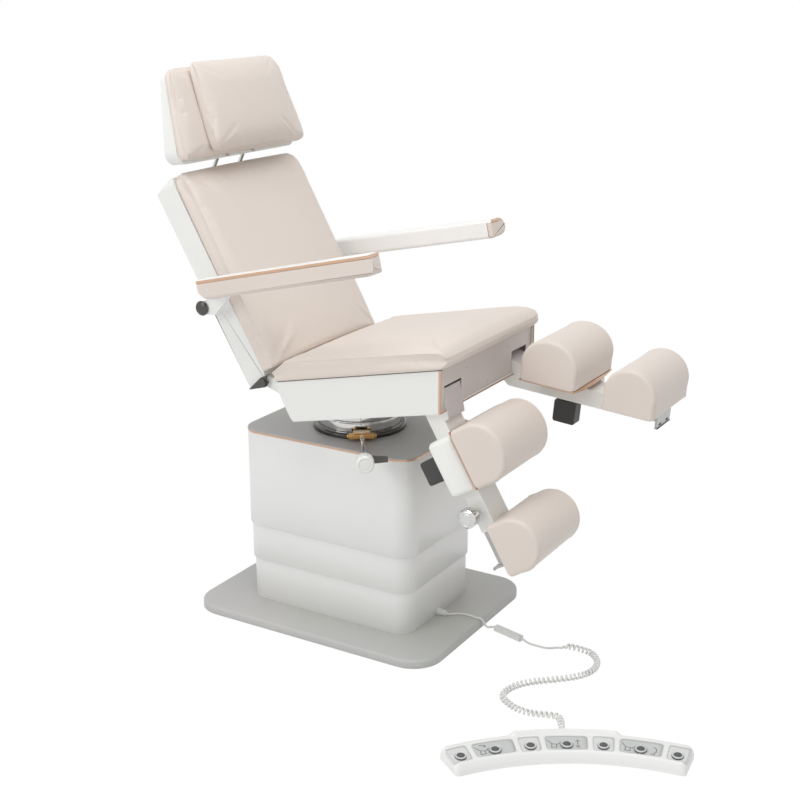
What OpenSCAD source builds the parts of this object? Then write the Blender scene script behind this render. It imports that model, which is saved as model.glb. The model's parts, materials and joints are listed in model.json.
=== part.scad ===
// Podiatry chair: lifting column, tilting seat, reclining back, two leg rests
// and a foot switch on a curly cord. X is across, Y runs to the back, Z is up.

/* [Base plate] */
// Width of the floor plate
base_w = 600; // [560:5:660]
// Length of the floor plate
base_d = 770; // [720:5:840]
// Thickness of the floor plate
base_t = 24; // [20:1:30]
// Corner radius of the floor plate
base_corner_r = 86; // [60:1:110]
// Rounding of the top edge
base_edge_r = 7; // [4:1:10]

/* [Column] */
// Width of the outer column shell
col_w = 387; // [370:1:400]
// Length of the outer column shell
col_d = 544; // [520:1:560]
// Corner radius of the column shells
col_corner_r = 58; // [50:1:70]
// Wall of the column shells
shell_t = 2.5; // [2:0.25:3]
// Gap between nested shells
shell_gap = 2.5; // [2:0.25:3]
// Height of the outer shell's lower edge
outer_low_z = 252; // [245:1:260]
// Height of the outer shell's top
col_top_z = 530; // [520:1:545]
// Height of the middle shell's lower edge
mid_low_z = 147; // [140:1:155]
// Height of the middle shell
mid_h = 190; // [180:1:200]
// Height of the inner shell
inner_h = 216; // [205:1:225]
// Thickness of the cover plate
cover_t = 3; // [2:0.5:4]
// Height of the trim line under the cover
trim_h = 5; // [3:0.5:7]
// Proud step of the trim line
trim_proud = 0.8; // [0.5:0.1:1]
// Side of the lift guide tube
guide_w = 140; // [120:5:160]
// Wall of the lift tubes
guide_t = 5; // [4:0.5:6]

/* [Turntable] */
// Outer radius of the dark ring
ring_r = 130; // [124:1:136]
// Height of the dark ring
ring_h = 14; // [10:1:18]
// Radius of the polished hub
hub_r = 115; // [105:1:119]
// Height of the polished hub above the cover
hub_h = 62; // [54:1:64]
// Direction of the brake from the front, towards the right side
brake_turn = 55.5; // [50:0.5:60]
// Length of the brass block along the ring
block_w = 68; // [60:1:76]
// Height of the brass block
block_h = 11; // [9:1:13]
// Depth of the brass block
block_d = 22; // [18:1:26]
// Radius of the brake rod
rod_r = 6; // [5:0.5:7]
// Distance of the brake knob's face from the swivel axis
knob_reach = 370; // [360:1:380]
// Radius of the brake knob
knob_r = 24; // [20:1:28]
// Length of the brake knob
knob_l = 32; // [26:1:36]
// Length of the dark lever beside the knob
brake_lever_l = 60; // [50:1:70]

/* [Seat] */
// Tilt of the seat in the photographed pose, front up
seat_tilt = 12; // [8:0.5:14]
// Width of the seat pan
pan_w = 527; // [515:1:535]
// Length of the seat pan along its top
pan_l = 509; // [500:1:520]
// Depth of the seat pan
pan_h = 109; // [100:1:115]
// Wall of the seat pan
pan_t = 4; // [3:0.5:5]
// Height of the pan's front edge above the floor
pan_front_z = 814; // [805:1:825]
// Distance of the pan's front edge before the swivel axis
pan_front_y = 402.5; // [395:0.5:410]
// Recess of the front panel
panel_recess = 8; // [5:0.5:12]
// Thickness of the front panel
panel_t = 3; // [2:0.5:4]
// Thickness of the copper front trim
seat_trim_t = 3; // [2:0.5:4]
// Depth of the copper front trim
seat_trim_d = 6; // [4:0.5:8]
// How far the seat cushion stands over each side of the pan
cushion_over = 7; // [2:1:10]
// Height of the seat cushion in the middle
cushion_h = 70; // [62:1:76]
// Height of the tilt axle above the cover
axle_up = 107; // [100:1:115]
// Radius of the tilt axle
axle_r = 10; // [8:0.5:12]

/* [Back] */
// Lean of the backrest from upright
back_lean = 29.36; // [26:0.5:32]
// Length of the backrest shell
back_l = 571; // [555:1:590]
// Length of the backrest shell's front face
back_face_l = 590; // [575:1:600]
// Thickness of the backrest shell
back_t = 66; // [60:1:72]
// How far the backrest's foot lies in from each side of the pan
back_in = 16.5; // [12:0.5:22]
// How much wider the backrest's top is on each side
back_flare = 13; // [8:1:18]
// Thickness of the back cushion over the shell at the lumbar
lumbar_t = 100; // [92:1:106]
// Radius of the recline bolts
recline_r = 8; // [6:0.5:10]

/* [Headrest] */
// Lean of the headrest from upright
head_lean = 8; // [5:0.5:12]
// Height of the headrest plate
head_h = 246; // [235:1:255]
// Thickness of the headrest plate at its foot
head_t = 47; // [42:1:50]
// Thickness of the headrest plate at its top
head_top_t = 14; // [12:1:18]
// How far the headrest's foot stands over each side of the backrest
head_over = 2; // [0:1:6]
// How much narrower the headrest's top is on each side
head_taper = 27; // [20:1:34]
// Thickness of the head cushion at its foot
head_pad_t = 40; // [36:1:44]
// Width of the pillow
pillow_w = 360; // [340:2:380]
// Thickness of the pillow
pillow_t = 54; // [46:1:60]
// Half the distance between the chrome posts
post_x = 58; // [50:1:66]
// Radius of the chrome posts
post_r = 5.5; // [5:0.5:7]

/* [Armrests] */
// Gap between the backrest's top and the arm's inner face
arm_gap = 30; // [26:1:36]
// Width of the arm
arm_w = 55; // [50:1:58]
// Length of the arm
arm_l = 552; // [540:1:565]
// Height of the arm
arm_h = 53; // [50:1:58]
// Height of the arm's underside over the seat pan's top
arm_up = 246; // [240:1:252]
// Distance of the arm's nose behind the pan's front
arm_nose = 82; // [74:1:88]
// Set-back of the arm's nose on its inner side
nose_slant = 14; // [6:1:18]
// Height of the copper strip
strip_h = 8; // [6:1:10]
// Lift of the right arm in the photographed pose
right_arm_lift = 1.2; // [0:0.1:3]
// Radius of the arm's pivot knob
arm_knob_r = 20; // [18:1:25]
// Radius of the arm's pivot pin
arm_pin_r = 6; // [5:0.5:8]

/* [Legs] */
// Angle of the right leg below level in the photographed pose
right_drop = 59.6; // [55:0.1:62]
// Angle of the left leg below level in the photographed pose
left_drop = 5; // [3:0.1:10]
// Distance of the leg pivots before the swivel axis
leg_pivot_y = 381; // [379:0.5:383]
// Height of the leg pivots above the floor
leg_pivot_z = 732; // [728:0.5:735]
// Distance of the leg tubes' outer side from the pan's side
tube_from_side = 35.5; // [30:0.5:38]
// Width of the leg tubes
tube_w = 85; // [80:1:90]
// Depth of the leg tubes
tube_h = 46; // [42:1:50]
// Length of the leg tubes from the pivot
tube_l = 352; // [345:1:360]
// Drop of the leg tubes' top under the pivot line
tube_drop = 16; // [14:1:18]
// Wall of the leg tubes
tube_t = 3; // [2.5:0.5:4]
// Radius of the leg pivot pins
leg_pin_r = 8; // [6:0.5:10]
// Distance of the calf cushions' inner side from the middle
calf_in_x = 21; // [18:1:26]
// How far the calf cushions stand out over the pan's side
calf_over = 8.5; // [2:0.5:14]
// Length of the upper calf cushion along the leg
calf_a_l = 157; // [148:1:160]
// Length of the lower calf cushion along the leg
calf_b_l = 140; // [132:1:145]
// Height of the calf cushions
calf_h = 118; // [110:1:122]
// Straight part of the calf cushions' sides
calf_side_h = 49; // [44:1:54]
// Start of the upper calf cushion from the pivot
calf_a_s = 84; // [80:1:88]
// Start of the lower calf cushion from the pivot
calf_b_s = 325; // [320:1:330]
// How much further out the right leg's lower cushion is drawn
right_ext = 8; // [0:1:10]
// How much further out the left leg's upper cushion is set
left_set = 9; // [0:1:10]
// Length of the outer leg cover
cover_l = 148; // [140:1:152]
// Radius of the leg's lock knob
lock_r = 25; // [22:1:27]
// Place of the lock knob along the leg
lock_s = 298; // [292:1:304]
// Radius of the lock screw
lock_pin_r = 5; // [4:0.5:6]
// Place of the end plate behind the lower cushion's start
end_from_pad = 110; // [104:1:114]
// Width of the end plate
end_w = 95; // [88:1:100]
// Thickness of the end plate
end_t = 5; // [4:0.5:6]
// Length of the end plate's slots
slot_l = 21; // [18:1:24]
// Width of the end plate's slots
slot_w = 7; // [5:0.5:8]
// Distance between the end plate's slots
slot_pitch = 48; // [46:1:50]

/* [Foot switch] */
// Distance of the switch's arc centre to the right of the swivel axis
switch_cx = 1027; // [1020:1:1035]
// Distance of the switch's arc centre before the swivel axis
switch_cy = 1196; // [1190:1:1205]
// Radius of the switch's front edge
switch_in_r = 625; // [618:1:630]
// Depth of the switch from its front edge to its rear edge
switch_depth = 91; // [85:1:97]
// Height of the switch
switch_h = 33; // [30:1:36]
// Turn of the switch's middle from the X axis
switch_turn = 31; // [29:0.5:33]
// Half the angle that the switch spans
switch_half = 24.5; // [24:0.5:26]
// Distance of the button row behind the switch's front edge
button_row_in = 35; // [31:1:39]
// Angle between buttons
button_step = 7.37; // [7:0.05:7.6]
// Radius of a button
button_r = 13; // [11:0.5:15]
// Height of a button over the panel
button_up = 7; // [6:0.5:9]
// Travel of a button
button_travel = 3; // [2:0.5:4]

/* [Cord] */
// Radius of the floor cable and of the curly cord's wire
cable_r = 2.8; // [2.4:0.1:3]
// Outer radius of the curly cord
curl_r = 9; // [8:0.5:10]
// Number of curls
curls = 60; // [40:1:60]
/* [Hidden] */
$fn = 64;

// Gap between pieces that slide or turn on each other
run_gap = 0.3;
// Gap around a shaft in its bore
bore_gap = 0.05;
// Overrun of every cut
cut = 1;

white = [0.93, 0.93, 0.91];
grey = [0.64, 0.64, 0.62];
mauve = [0.63, 0.60, 0.59];
copper = [0.76, 0.62, 0.54];
beige = [0.86, 0.82, 0.77];
chrome = [0.78, 0.78, 0.78];
dark = [0.3, 0.3, 0.3];
brass = [0.85, 0.7, 0.42];

// Widths that follow the seat pan, and levels of the column
back_w = pan_w - 2 * back_in;
back_top_w = back_w + 2 * back_flare;
head_w = back_top_w + 2 * head_over;
head_top_w = head_w - 2 * head_taper;
arm_out_x = back_top_w / 2 + arm_gap + arm_w;
cushion_w = pan_w + 2 * cushion_over;
tube_in_x = pan_w / 2 - tube_from_side - tube_w;
calf_out_x = pan_w / 2 + calf_over;
switch_out_r = switch_in_r + switch_depth;
button_row_r = switch_in_r + button_row_in;
cover_z = col_top_z + cover_t;
collar_h = 12;
nest = shell_t + shell_gap;
axle_z = cover_z + axle_up;
rod_z = cover_z + ring_h;

module rounded(w, d, r) {
    hull()
        for (x = [-1, 1], y = [-1, 1])
            translate([x * (w / 2 - r), y * (d / 2 - r)])
                circle(r, $fn = 48);
}

module slab(w, d, h, r) {
    linear_extrude(h)
        rounded(w, d, r);
}

// Profile drawn as (back, up), given a width across
module across(w) {
    rotate([90, 0, 90])
        linear_extrude(w, center = true)
            children();
}

// Bar along X between two places
module cross_bar(x0, x1, r) {
    translate([x0, 0, 0])
        rotate([0, 90, 0])
            cylinder(x1 - x0, r, r);
}

// Closed skin over rings that hold the same number of points
module loft(rings) {
    n = len(rings[0]);
    m = len(rings);
    points = [for (ring = rings) for (p = ring) p];
    walls = [
        for (j = [0:m - 2]) for (i = [0:n - 1])
            for (half = [0, 1])
                half == 0
                    ? [j * n + i, j * n + (i + 1) % n, (j + 1) * n + (i + 1) % n]
                    : [j * n + i, (j + 1) * n + (i + 1) % n, (j + 1) * n + i]
    ];
    start = [for (i = [1:n - 2]) [0, i + 1, i]];
    finish = [for (i = [1:n - 2]) [(m - 1) * n, (m - 1) * n + i, (m - 1) * n + i + 1]];
    polyhedron(points = points, faces = concat(walls, start, finish));
}

// Base and column

module base_plate() {
    color(grey)
        hull() {
            slab(base_w, base_d, base_t - base_edge_r, base_corner_r);
            for (a = [30, 60, 90]) {
                inset = base_edge_r * (1 - cos(a));
                slab(base_w - 2 * inset, base_d - 2 * inset,
                    base_t - base_edge_r * (1 - sin(a)), base_corner_r - inset);
            }
        }
}

module column_shell(inset, low, high) {
    translate([0, 0, low])
        difference() {
            slab(col_w - 2 * inset, col_d - 2 * inset, high - low, col_corner_r - inset);
            translate([0, 0, -cut])
                slab(col_w - 2 * (inset + shell_t), col_d - 2 * (inset + shell_t),
                    high - low + 2 * cut, col_corner_r - inset - shell_t);
        }
}

// Glide collar that fills the gap to the next shell out
module glide_collar(inset, high) {
    column_shell(inset - shell_gap + run_gap, high - collar_h, high);
}

module inner_shell() {
    color(white) {
        column_shell(2 * nest, base_t, base_t + inner_h);
        glide_collar(2 * nest, base_t + inner_h);
    }
}

module middle_shell() {
    color(white) {
        column_shell(nest, mid_low_z, mid_low_z + mid_h);
        glide_collar(nest, mid_low_z + mid_h);
    }
}

module outer_shell() {
    color(white)
        column_shell(0, outer_low_z, col_top_z);
}

module cover_plate() {
    color(grey)
        translate([0, 0, col_top_z])
            difference() {
                slab(col_w, col_d, cover_t, col_corner_r);
                translate([0, 0, -cut])
                    cylinder(cover_t + 2 * cut, spigot_r + run_gap, spigot_r + run_gap);
            }
}

module column_trim() {
    color(copper)
        translate([0, 0, col_top_z - trim_h])
            difference() {
                slab(col_w + 2 * trim_proud, col_d + 2 * trim_proud, trim_h,
                    col_corner_r + trim_proud);
                translate([0, 0, -cut])
                    slab(col_w, col_d, trim_h + 2 * cut, col_corner_r);
            }
}

// Square lift tubes inside the shells
guide_foot_out = 40;
guide_foot_w = guide_w + 2 * guide_foot_out;
guide_foot_t = 8;
guide_over = 45;
guide_top = base_t + inner_h + guide_over;
ram_w = guide_w - 2 * guide_t - 2 * run_gap;

module square_tube(w, t, low, high) {
    translate([0, 0, low])
        linear_extrude(high - low)
            difference() {
                square(w, center = true);
                square(w - 2 * t, center = true);
            }
}

module lift_guide() {
    color(chrome) {
        square_tube(guide_foot_w, (guide_foot_w - guide_w) / 2, base_t, base_t + guide_foot_t);
        square_tube(guide_w, guide_t, base_t, guide_top);
    }
}

module lift_ram() {
    color(chrome)
        square_tube(ram_w, guide_t, outer_low_z, col_top_z);
}

// Turntable and brake

spigot_r = 40;
spigot_l = 20;
ring_bevel = 4;

module turntable_ring() {
    color(dark)
        translate([0, 0, cover_z + run_gap])
            rotate_extrude($fn = 96)
                polygon([
                    [hub_r + run_gap, 0],
                    [ring_r, 0],
                    [ring_r, ring_h - ring_bevel],
                    [ring_r - ring_bevel, ring_h],
                    [hub_r + run_gap, ring_h]
                ]);
}

module swivel_hub() {
    color(chrome) {
        translate([0, 0, cover_z + run_gap])
            cylinder(hub_h - run_gap, hub_r, hub_r, $fn = 96);
        translate([0, 0, cover_z - spigot_l])
            cylinder(spigot_l + cut, spigot_r, spigot_r);
    }
}

// X points out along the brake rod
module brake_frame() {
    translate([0, 0, rod_z])
        rotate([0, 0, 270 - brake_turn])
            children();
}

block_knurl_r = 5.5;
block_knurl_l = 6;
cap_w = 46;
cap_h = 8;
cap_d = 16;

module clamp_block() {
    color(brass)
        difference() {
            brake_frame()
                union() {
                    translate([ring_r, -block_w / 2, -block_h / 2])
                        cube([block_d, block_w, block_h]);
                    for (side = [-1, 1])
                        translate([ring_r + block_d / 2, side * (block_w / 2 + block_knurl_l / 2), 0])
                            rotate([90, 0, 0])
                                cylinder(block_knurl_l, block_knurl_r, block_knurl_r, center = true);
                    translate([ring_r - cap_d / 4, -cap_w / 2, block_h / 2])
                        cube([cap_d, cap_w, cap_h]);
                }
            cylinder(2 * cover_z, ring_r + run_gap, ring_r + run_gap, $fn = 96);
            brake_frame()
                translate([ring_r - cut, 0, 0])
                    rotate([0, 90, 0])
                        cylinder(block_d + 2 * cut, rod_r + bore_gap, rod_r + bore_gap);
        }
}

lever_h = 14;
lever_t = 8;
lever_gap = 6;
lever_start = knob_reach - knob_l - lever_gap - lever_t;
rod_start = ring_r + run_gap + cut;

// Chrome rod with its dark side lever
module brake_rod() {
    brake_frame()
        union() {
            color(chrome)
                translate([rod_start, 0, 0])
                    rotate([0, 90, 0])
                        cylinder(knob_reach - knob_l - rod_start, rod_r, rod_r);
            color(dark)
                translate([lever_start, 0, 0])
                    rotate([0, 90, 0])
                        linear_extrude(lever_t)
                            hull() {
                                circle(rod_r * 2, $fn = 32);
                                translate([-lever_h / 2, brake_lever_l - lever_h / 2])
                                    square([lever_h, lever_h / 2]);
                            }
        }
}

knob_edge_r = 5;
groove_share = 0.58;
groove_w = 2.4;
groove_d = 1;

// Round knob, turned about its own axis, with a closed ring groove in its face
module turned_knob(r, l, edge) {
    groove = r * groove_share;
    rotate_extrude()
        polygon([
            [0, 0], [r - edge, 0], [r, edge / 2], [r, l - edge],
            for (a = [15:15:75]) [r - edge + edge * cos(a), l - edge + edge * sin(a)],
            [groove + groove_w, l], [groove + groove_w, l - groove_d],
            [groove, l - groove_d], [groove, l], [0, l]
        ]);
}

module brake_knob() {
    color(white)
        brake_frame()
            translate([knob_reach - knob_l, 0, 0])
                rotate([0, 90, 0])
                    turned_knob(knob_r, knob_l, knob_edge_r);
}

// Fixed cheeks on the hub that carry the tilt axle
cheek_x = 60;
cheek_t = 12;
cheek_d = 50;

module tilt_saddle() {
    color(dark)
        difference() {
            union() {
                for (side = [-1, 1])
                    translate([side * cheek_x, 0, 0])
                        union() {
                            translate([-cheek_t / 2, -cheek_d / 2, cover_z + hub_h])
                                cube([cheek_t, cheek_d, axle_z - cover_z - hub_h]);
                            translate([-cheek_t / 2, 0, axle_z])
                                rotate([0, 90, 0])
                                    cylinder(cheek_t, cheek_d / 2, cheek_d / 2);
                        }
            }
            translate([0, 0, axle_z])
                cross_bar(-pan_w / 2, pan_w / 2, axle_r + bore_gap);
        }
}

// Seat group, drawn level from the pan's front edge and then tilted

module seat_frame() {
    translate([0, -pan_front_y, pan_front_z])
        rotate([-seat_tilt, 0, 0])
            children();
}

// A place in the world, (y, z), as (back, up) in the seat's own frame
function in_seat(y, z) = [
    (y + pan_front_y) * cos(seat_tilt) - (z - pan_front_z) * sin(seat_tilt),
    (y + pan_front_y) * sin(seat_tilt) + (z - pan_front_z) * cos(seat_tilt)
];

pan_nose = pan_h * tan(seat_tilt);
pan_tail_shares = [[1, 0], [0.975, -0.51], [0.96, -0.74], [0.947, -0.92], [0.935, -1]];
axle_at = in_seat(0, axle_z);
leg_at = in_seat(-leg_pivot_y, leg_pivot_z);
knuckle_gap = 2;
knuckle_reach = 28;
notch_l = 125;
cheek_slot_l = 78;
axle_lug_h = 50;
axle_lug_t = 10;
ear_t = 10;
ear_r = leg_pin_r + 2;
ear_web_l = 50;
hinge_behind = 49.35;
hinge_below = 0.22;
hinge_at = [pan_l + hinge_behind, -hinge_below];
hinge_y = hinge_at[0] * cos(seat_tilt) + hinge_at[1] * sin(seat_tilt) - pan_front_y;
hinge_z = hinge_at[1] * cos(seat_tilt) - hinge_at[0] * sin(seat_tilt) + pan_front_z;
hinge_in = 16;
hinge_x = back_w / 2 - hinge_in;
hinge_lug_t = 12;
hinge_lug_r = 14;
hinge_root_h = 46;

// Slice of the pan's outline from one depth behind its upright front edge to another
module front_slice(from, to, down) {
    polygon([
        [from, 0],
        [to, 0],
        [to + pan_nose * down / pan_h, -down],
        [from + pan_nose * down / pan_h, -down]
    ]);
}

module pan_outline() {
    polygon(concat(
        [[seat_trim_d, 0]],
        [for (s = pan_tail_shares) [s[0] * pan_l, s[1] * pan_h]],
        [[seat_trim_d + pan_nose, -pan_h]]
    ));
}

// Room for the leg knuckles, open to the front and below
module knuckle_rooms(length) {
    top = leg_at[1] + knuckle_reach + knuckle_gap;
    for (side = [-1, 1])
        translate([side * (tube_in_x + tube_w / 2), 0, 0])
            translate([-tube_w / 2 - knuckle_gap, -cut, -pan_h - cut])
                cube([tube_w + 2 * knuckle_gap, length, top + pan_h + cut]);
}

module leg_ears() {
    for (side = [-1, 1])
        for (x = [tube_in_x - run_gap - ear_t / 2, tube_in_x + tube_w + run_gap + ear_t / 2])
            translate([side * x, 0, 0])
                across(ear_t)
                    hull() {
                        translate(leg_at)
                            circle(ear_r, $fn = 32);
                        translate([leg_at[0] + ear_r, -pan_h + pan_t / 2])
                            square([ear_web_l, 2 * ear_r]);
                    }
    for (side = [-1, 1])
        translate([side * (tube_in_x + tube_w / 2), leg_at[0], leg_at[1]])
            cross_bar(-tube_w / 2 - ear_t, tube_w / 2 + ear_t, leg_pin_r);
}

module axle_lugs() {
    for (side = [-1, 1])
        translate([
            side * (cheek_x + cheek_t / 2 + run_gap + axle_lug_t / 2) - axle_lug_t / 2,
            axle_at[0] - 2 * axle_r,
            -pan_h + pan_t / 2
        ])
            cube([axle_lug_t, 4 * axle_r, axle_lug_h]);
    translate([0, axle_at[0], axle_at[1]])
        cross_bar(-cheek_x - cheek_t, cheek_x + cheek_t, axle_r);
}

module hinge_lugs() {
    for (side = [-1, 1])
        translate([side * hinge_x, 0, 0])
            difference() {
                across(hinge_lug_t)
                    hull() {
                        translate(hinge_at)
                            circle(hinge_lug_r, $fn = 32);
                        translate([pan_l - 2 * hinge_lug_r, -hinge_lug_r - hinge_root_h])
                            square([cut, hinge_root_h]);
                    }
                translate([0, hinge_at[0], hinge_at[1]])
                    cross_bar(-hinge_lug_t, hinge_lug_t, recline_r + bore_gap);
            }
}

module seat_pan() {
    color(white)
        seat_frame() {
            difference() {
                across(pan_w)
                    pan_outline();
                across(pan_w - 2 * pan_t)
                    offset(delta = -pan_t)
                        pan_outline();
                across(pan_w - 2 * pan_t)
                    front_slice(0, seat_trim_d + 2 * pan_t, pan_h - pan_t);
                knuckle_rooms(notch_l);
                for (side = [-1, 1])
                    translate([
                        side * cheek_x - cheek_t / 2 - pan_t,
                        axle_at[0] - cheek_slot_l / 2,
                        -pan_h - cut
                    ])
                        cube([cheek_t + 2 * pan_t, cheek_slot_l, pan_t + 2 * cut]);
            }
            leg_ears();
            axle_lugs();
            hinge_lugs();
        }
}

module front_panel() {
    color(mauve)
        seat_frame()
            difference() {
                across(pan_w - 2 * pan_t)
                    front_slice(panel_recess, panel_recess + panel_t, pan_h - pan_t);
                translate([0, 0, -pan_t + cut])
                    across(pan_w)
                        square([2 * panel_recess, pan_t]);
                knuckle_rooms(notch_l);
            }
}

module seat_trim() {
    color(copper)
        seat_frame()
            difference() {
                across(pan_w)
                    front_slice(0, seat_trim_d, pan_h);
                across(pan_w - 2 * seat_trim_t)
                    front_slice(-cut, seat_trim_d + cut, pan_h - seat_trim_t);
                knuckle_rooms(notch_l);
            }
}

// One closed section of a pad across its length, with sides drawn in at
// the middle and a crown over the top
section_shares = [
    [-0.93, 0, 0], [0.93, 0, 0], [1, 0.12, 0], [0.985, 0.5, 0], [1, 0.88, 0],
    [0.96, 1, 0.1], [0.8, 1, 0.42], [0.45, 1, 0.82], [0, 1, 1], [-0.45, 1, 0.82],
    [-0.8, 1, 0.42], [-0.96, 1, 0.1], [-1, 0.88, 0], [-0.985, 0.5, 0], [-1, 0.12, 0]
];

function pad_ring(at, half_w, low, side, crown) = [
    for (s = section_shares)
        [s[0] * half_w, at, low + s[1] * (side - low) + s[2] * (crown - side)]
];

// Pad lofted over stations, each a share of length, width, low, side and crown
module pad(length, width, height, station_shares) {
    loft([
        for (s = station_shares)
            pad_ring(s[0] * length, s[1] * width / 2, s[2] * height, s[3] * height, s[4] * height)
    ]);
}

seat_nose = 18;
seat_tail = 3;
seat_shares = [
    [0, 0.95, 0.22, 0.42, 0.46], [0.012, 0.97, 0.08, 0.6, 0.66], [0.035, 0.985, 0.005, 0.7, 0.82],
    [0.075, 1, 0.005, 0.74, 0.93], [0.14, 1, 0.005, 0.75, 0.99], [0.5, 1, 0.005, 0.79, 1],
    [0.84, 1, 0.005, 0.83, 0.98], [0.9, 1, 0.005, 0.8, 0.84], [0.95, 0.99, 0.005, 0.6, 0.62],
    [0.99, 0.985, 0.02, 0.44, 0.46], [1, 0.97, 0.08, 0.38, 0.4]
];

module seat_cushion() {
    color(beige)
        seat_frame()
            translate([0, -seat_nose, 0])
                pad(pan_l + seat_nose + seat_tail, cushion_w, cushion_h, seat_shares);
}

// Back group: X across, Y to the rear, Z along the back

back_hinge_n = 51.2;
back_hinge_up = 1.4;
back_corner_r = 26;
back_head_share = 0.83;
back_foot_share = 0.9;
back_pad_low = 26;
back_pad_in = 4;
post_n = 52;
post_bore_l = 215;
post_sunk = 200;
arm_pin_up = 245.6;
arm_pin_n = 11.4;
spacer_r = 10;
plate_t = 4;
plate_gap = 0.5;
plate_in_x = back_w / 2 + plate_gap;
bolt_head_r = 11;
bolt_head_t = 5;

module back_frame() {
    translate([0, hinge_y, hinge_z])
        rotate([-back_lean, 0, 0])
            translate([0, back_hinge_n, -back_hinge_up])
                children();
}

// Across bar at a place (forward, up) in the back's frame
module back_bar(x0, x1, n, up, r) {
    translate([0, -n, up])
        cross_bar(x0, x1, r);
}

module back_shell() {
    x_side = (back_w + (back_top_w - back_w) * arm_pin_up / back_l) / 2;
    color(white)
        back_frame()
            union() {
                difference() {
                    intersection() {
                        across(back_top_w)
                            polygon([
                                [0, 0],
                                [0, back_l],
                                [-back_t * back_head_share, back_face_l + plate_t],
                                [-back_t, back_face_l],
                                [-back_t, back_pad_low],
                                [-back_t * back_foot_share, 0]
                            ]);
                        rotate([90, 0, 0])
                            linear_extrude(back_t)
                                hull() {
                                    translate([-back_w / 2, 0])
                                        square([back_w, cut]);
                                    for (side = [-1, 1])
                                        translate([
                                            side * (back_top_w / 2 - back_corner_r),
                                            back_face_l + plate_t - back_corner_r
                                        ])
                                            circle(back_corner_r);
                                }
                    }
                    for (side = [-1, 1]) {
                        translate([side * post_x, -post_n, back_l - post_bore_l])
                            cylinder(post_bore_l * 2, post_r + bore_gap, post_r + bore_gap);
                        translate([side * hinge_x, -back_t, 0])
                            translate([-hinge_lug_t / 2 - run_gap, -cut, -cut])
                                cube([
                                    hinge_lug_t + 2 * run_gap,
                                    back_t - back_hinge_n + hinge_lug_r + 2 * cut,
                                    hinge_lug_r + back_hinge_up + 2 * cut
                                ]);
                    }
                    back_bar(-back_w / 2 - cut, back_w / 2 + cut, back_hinge_n, back_hinge_up,
                        recline_r + bore_gap);
                }
                for (side = [0, 1])
                    mirror([side, 0, 0])
                        union() {
                            back_bar(x_side - plate_t, arm_out_x - arm_w - run_gap, arm_pin_n,
                                arm_pin_up, spacer_r);
                            back_bar(x_side - plate_t, arm_pin_end, arm_pin_n, arm_pin_up,
                                arm_pin_r);
                        }
            }
}

back_shares = [
    [0, 0.985, 0.005, 0.44, 0.7], [0.01, 1, 0.005, 0.46, 0.94], [0.03, 1, 0.005, 0.47, 0.99],
    [0.1, 1, 0.005, 0.47, 1], [0.25, 1, 0.005, 0.47, 0.94], [0.42, 1, 0.005, 0.47, 0.82],
    [0.62, 1, 0.005, 0.47, 0.7], [0.82, 1, 0.005, 0.47, 0.62], [0.93, 1, 0.005, 0.45, 0.58],
    [0.975, 0.98, 0.005, 0.38, 0.48], [1, 0.93, 0.06, 0.26, 0.33]
];

module back_cushion() {
    color(beige)
        back_frame()
            translate([0, -back_t, back_pad_low])
                rotate([90, 0, 0])
                    pad(back_face_l - back_pad_low, back_top_w - 2 * back_pad_in, lumbar_t,
                        back_shares);
}

module hinge_plates() {
    color(dark)
        back_frame()
            for (side = [0, 1])
                mirror([side, 0, 0])
                    union() {
                        translate([plate_in_x + plate_t / 2, 0, 0])
                            across(plate_t)
                                hull() {
                                    translate([-back_hinge_n, back_hinge_up])
                                        circle(hinge_lug_r, $fn = 32);
                                    translate([-back_t - plate_t, hinge_lug_r - plate_t])
                                        square(plate_t);
                                    square(plate_t / 2);
                                }
                        back_bar(hinge_x - hinge_lug_t, plate_in_x + plate_t, back_hinge_n,
                            back_hinge_up, recline_r);
                        back_bar(plate_in_x + plate_t, plate_in_x + plate_t + bolt_head_t,
                            back_hinge_n, back_hinge_up, bolt_head_r);
                    }
}

// Headrest: the posts leave the back's top and bend forward to a cross axle

head_behind = 284.8;
head_up = 550.8;
head_axle_n = 18.4;
head_axle_up = 13.1;
head_axle_r = 6;
head_axle_l = 160;
head_corner_r = 32;
post_slot = 2;
head_pad_up = 9;
bend_up = 597;
bend_to_n = 94.9;
bend_to_up = 626.6;
pillow_up = 16;
pillow_l = 236;

module head_frame() {
    translate([0, hinge_y + head_behind, hinge_z + head_up])
        rotate([-head_lean, 0, 0])
            children();
}

module head_posts() {
    bend = [bend_to_n - post_n, bend_to_up - bend_up];
    color(chrome)
        back_frame()
            union() {
                for (side = [-1, 1])
                    translate([side * post_x, -post_n, 0])
                        union() {
                            translate([0, 0, back_l - post_sunk])
                                cylinder(bend_up - back_l + post_sunk, post_r, post_r);
                            translate([0, 0, bend_up])
                                sphere(post_r, $fn = 32);
                            translate([0, 0, bend_up])
                                rotate([atan2(bend[0], bend[1]), 0, 0])
                                    cylinder(norm(bend), post_r, post_r);
                        }
                translate([0, -bend_to_n, bend_to_up])
                    cross_bar(-head_axle_l / 2, head_axle_l / 2, head_axle_r);
            }
}

module head_plan(grow) {
    hull() {
        for (side = [-1, 1]) {
            translate([side * (head_w / 2 - head_corner_r + grow), head_corner_r - grow])
                circle(head_corner_r, $fn = 40);
            translate([side * (head_top_w / 2 - head_corner_r + grow),
                head_h - head_corner_r + grow])
                circle(head_corner_r, $fn = 40);
        }
    }
}

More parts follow.
